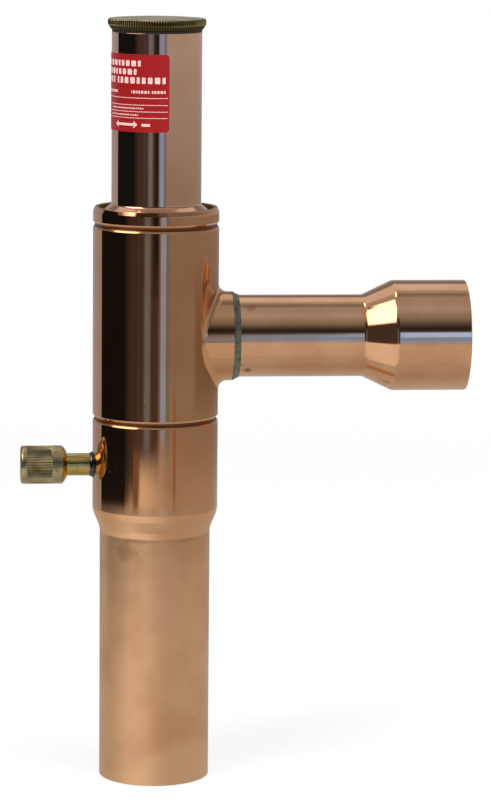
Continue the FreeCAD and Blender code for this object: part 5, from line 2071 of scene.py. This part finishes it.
@dataclass
class Studio:
    """A pale floor in a plain studio, with the table, walls and cards that the metal mirrors."""

    levels: tuple[Level, ...] = (
        Level(-90.0, "#A8A5A0"),
        Level(-60.0, "#BAB8B6"),
        Level(-20.0, "#C0BDB8"),
        Level(-13.0, "#BCBAB6"),
        Level(-11.0, "#B2B0AE"),
        Level(-10.2, "#AEADAA"),
        Level(-9.8, "#979491"),
        Level(-6.5, "#908D8A"),
        Level(-3.0, "#B0B3BA"),
        Level(14.0, "#A0A0A2"),
        Level(28.0, "#7C7C7C"),
        Level(45.0, "#8E8E90"),
        Level(62.0, "#AEB0B6"),
        Level(90.0, "#A0A2A6"),
    )
    cards: tuple[Card, ...] = (
        # the lit part of the table, in front on the left
        Card(-42.0, -31.0, 38.0, 21.0, 60.0, 1.0, "#E8E6E4"),
        # the pale backdrop, past the left edge
        Card(-158.0, 0.0, 36.0, 11.2, 2.0, 0.4, "#A4ACB8"),
        # a lit panel high up behind, and the shade above it
        Card(173.0, 50.0, 60.0, 13.0, 15.0, 8.0, "#D8D8DA"),
        Card(186.0, 78.0, 60.0, 6.0, 30.0, 6.0, "#868688"),
        # the dark side of the room, above and round the camera
        Card(-47.0, 7.5, 14.0, 18.3, 10.0, 0.8, "#443E3C"),
        Card(-17.0, 8.5, 20.0, 18.7, 10.0, 0.6, "#484248"),
        Card(-29.0, 33.0, 30.0, 9.0, 6.0, 10.0, "#3A3838"),
        Card(8.0, 20.0, 10.0, 12.0, 8.0, 24.0, "#2C2A2C"),
        # a black card on the left, and the dark that it fades into
        Card(-66.0, 7.0, 12.0, 18.0, 12.0, 0.9, "#2A2A28"),
        Card(-91.0, 7.0, 30.0, 18.4, 2.5, 0.7, "#15191C"),
        # a dim window left of the camera, and the shade beside it
        Card(-19.0, 4.0, 5.5, 13.9, 7.0, 0.8, "#74849C"),
        Card(-3.5, 5.4, 5.0, 12.5, 3.5, 1.0, "#232529"),
        # a grey frame, and in it the bright window right of the camera
        Card(17.5, 0.0, 4.0, 9.9, 3.0, 0.6, "#7C8CA4"),
        Card(10.0, 0.0, 5.0, 9.6, 2.0, 0.6, "#80A8EC", 1.1),
        Card(10.0, -7.4, 4.5, 2.2, 2.0, 0.8, "#86ACE8", 1.35),
        Card(11.5, 8.0, 4.0, 5.0, 1.0, 2.0, "#7CAAF4", 2.3),
        # a low brown bench at the back right
        Card(115.0, -8.1, 42.0, 0.9, 12.0, 0.8, "#80766C"),
        # two narrow brown uprights at the table's edge
        Card(-39.5, -10.7, 4.6, 0.8, 4.5, 0.3, "#80665A"),
        Card(32.0, -9.9, 2.6, 0.9, 4.0, 0.6, "#9A7C64"),
        # a soft box high on the left, and another nearly overhead
        Card(-74.0, 45.0, 27.0, 16.0, 8.0, 5.0, "#FFF2EC", 3.2),
        Card(-142.0, 73.0, 26.0, 6.0, 8.0, 3.0, "#FFF4EA", 3.0),
    )
    daylight: float = 0.5
    floor_colour: str = "#F2F2F0"
    floor_radius: float = 900.0

    def make(self) -> None:
        """Sets up the world, the lamps and the floor."""
        scene = bpy.context.scene
        scene.view_settings.view_transform = "Standard"
        self._world(scene)
        self._lamps(scene)
        self._floor()

    def _world(self, scene: bpy.types.Scene) -> None:
        """White to the camera, the studio to mirrors, and plain light to the rest."""
        world = bpy.data.worlds.new("studio")
        scene.world = world
        world.use_nodes = True
        tree = world.node_tree
        tree.nodes.clear()
        direction = add_node(tree, "ShaderNodeTexCoord").outputs["Generated"]
        x, y, z = add_node(tree, SPLIT, inputs=[direction]).outputs
        ahead = add_node(tree, MATH, TIMES, [y, -1.0]).outputs[0]
        azimuth = add_node(tree, MATH, {"operation": "ARCTAN2"}, [x, ahead]).outputs[0]
        elevation = add_node(tree, MATH, {"operation": "ARCSINE"}, [z]).outputs[0]
        sources = [elevation, 1.0 / math.pi, 0.5]
        height = add_node(tree, MATH, TIMES_PLUS, sources).outputs[0]
        ramp = add_node(tree, "ShaderNodeValToRGB", inputs=[height])
        stops = ramp.color_ramp.elements
        while len(stops) > 1:
            stops.remove(stops[-1])
        for number, level in enumerate(self.levels):
            place = level.elevation / 180.0 + 0.5
            stop = stops.new(place) if number else stops[0]
            stop.position = place
            stop.color = linear(level.colour)
        mirrored = ramp.outputs[0]
        for card in self.cards:
            mirrored = self._hang(tree, card, azimuth, elevation, mirrored)
        pale = linear("#FFFFFF")
        shown, plain, white = (
            add_node(tree, "ShaderNodeBackground", inputs=[colour, strength]).outputs[0]
            for colour, strength in ((mirrored, 1.0), (pale, self.daylight), (pale, 1.0))
        )
        rays = add_node(tree, "ShaderNodeLightPath").outputs
        lit = add_node(tree, "ShaderNodeMixShader", inputs=[rays["Is Glossy Ray"], plain, shown])
        sources = [rays["Is Camera Ray"], rays["Is Transmission Ray"]]
        clear = add_node(tree, MATH, {"operation": "MAXIMUM"}, sources).outputs[0]
        seen = add_node(tree, "ShaderNodeMixShader", inputs=[clear, lit.outputs[0], white])
        add_node(tree, "ShaderNodeOutputWorld", inputs=[seen.outputs[0]])

    def _hang(
        self, tree: Tree, card: Card, azimuth: Socket, elevation: Socket, behind: Socket
    ) -> Socket:
        """Hangs a card in front of what a mirror would show there.

        Args:
            tree: the world's tree.
            card: the card.
            azimuth: the direction's azimuth in radians.
            elevation: its elevation in radians.
            behind: the colour behind the card.

        Returns:
            The colour with the card.
        """
        sideways, upwards = (
            add_node(tree, MATH, MINUS, [angle, math.radians(middle)]).outputs[0]
            for angle, middle in ((azimuth, card.azimuth), (elevation, card.elevation))
        )
        sources = [sideways, math.pi, -math.pi]
        wrapped = add_node(tree, MATH, {"operation": "WRAP"}, sources).outputs[0]
        covers = []
        for away, half, edge in (
            (wrapped, card.half_width, card.side_edge),
            (upwards, card.half_height, card.end_edge),
        ):
            distance = add_node(tree, MATH, {"operation": "ABSOLUTE"}, [away])
            inputs = {
                "Value": distance.outputs[0],
                "From Min": math.radians(half + edge / 2),
                "From Max": math.radians(half - edge / 2),
            }
            covers.append(add_node(tree, MAP_RANGE, SMOOTH, inputs).outputs[0])
        cover = add_node(tree, MATH, TIMES, covers).outputs[0]
        shade = tuple(card.strength * part for part in linear(card.colour)[:3]) + (1.0,)
        inputs = {"Factor": cover, 6: behind, 7: shade}
        return add_node(tree, MIX, COLOURS, inputs).outputs[2]

    def _lamps(self, scene: bpy.types.Scene) -> None:
        """Three soft lamps for what is not metal; the cards stand for them in mirrors."""
        for name, place, size, power in (
            ("key_box", (-0.75, -0.75, 1.15), 0.5, 12.0),
            ("top_box", (0.15, -0.35, 1.4), 0.6, 11.0),
            ("fill_box", (1.0, -0.5, 0.8), 0.6, 4.5),
        ):
            lamp = bpy.data.lights.new(name, "AREA")
            lamp.energy = power
            lamp.size = size
            holder = bpy.data.objects.new(name, lamp)
            aim = Vector((0.02, 0.0, 0.13)) - Vector(place)
            holder.location = place
            holder.rotation_euler = aim.to_track_quat("-Z", "Y").to_euler()
            holder.visible_glossy = False
            scene.collection.objects.link(holder)

    def _floor(self) -> None:
        """A pale round floor that fades into the white around it and keeps the shadow."""
        mesh = bpy.data.meshes.new("floor")
        work = bmesh.new()
        bmesh.ops.create_circle(work, cap_ends=True, segments=96, radius=self.floor_radius * MM)
        work.to_mesh(mesh)
        work.free()
        mesh.transform(Matrix.Translation((0.0, 0.0, -0.0002)))
        floor = bpy.data.objects.new("floor", mesh)
        bpy.context.scene.collection.objects.link(floor)
        floor.visible_glossy = False
        made = bpy.data.materials.new("pale_floor")
        made.use_nodes = True
        tree = made.node_tree
        tree.nodes.clear()
        place = add_node(tree, "ShaderNodeTexCoord").outputs["Object"]
        reach = add_node(tree, VECTOR_MATH, {"operation": "LENGTH"}, [place])
        inputs = {
            "Value": reach.outputs["Value"],
            "From Min": 0.35 * self.floor_radius * MM,
            "From Max": 0.95 * self.floor_radius * MM,
        }
        fade = add_node(tree, MAP_RANGE, SMOOTH, inputs).outputs[0]
        matte = add_node(tree, "ShaderNodeBsdfDiffuse", inputs=[linear(self.floor_colour)])
        glow = add_node(tree, "ShaderNodeEmission", inputs=[linear("#FFFFFF")])
        rays = add_node(tree, "ShaderNodeLightPath").outputs
        lift = add_node(tree, MATH, TIMES, [rays["Is Camera Ray"], 0.75]).outputs[0]
        sources = [lift, matte.outputs[0], glow.outputs[0]]
        pale = add_node(tree, "ShaderNodeMixShader", inputs=sources)
        clear = add_node(tree, "ShaderNodeBsdfTransparent")
        sources = [fade, pale.outputs[0], clear.outputs[0]]
        seen = add_node(tree, "ShaderNodeMixShader", inputs=sources)
        add_node(tree, "ShaderNodeOutputMaterial", inputs=[seen.outputs[0]])
        mesh.materials.append(made)


def main() -> None:
    """Builds the regulator's looks in order."""
    logging.basicConfig(level=logging.INFO, format="%(name)s %(message)s")
    shop = Workshop()
    for assembly in (
        CopperBody(),
        OutletBranch(),
        Bonnet(),
        RatingLabel(),
        GaugePort(),
        ScrewCap(),
        SettingGear(),
        ValveGear(),
    ):
        assembly.make(shop)
    Viewpoint().make()
    Studio().make()


if __name__ == "__main__":
    main()
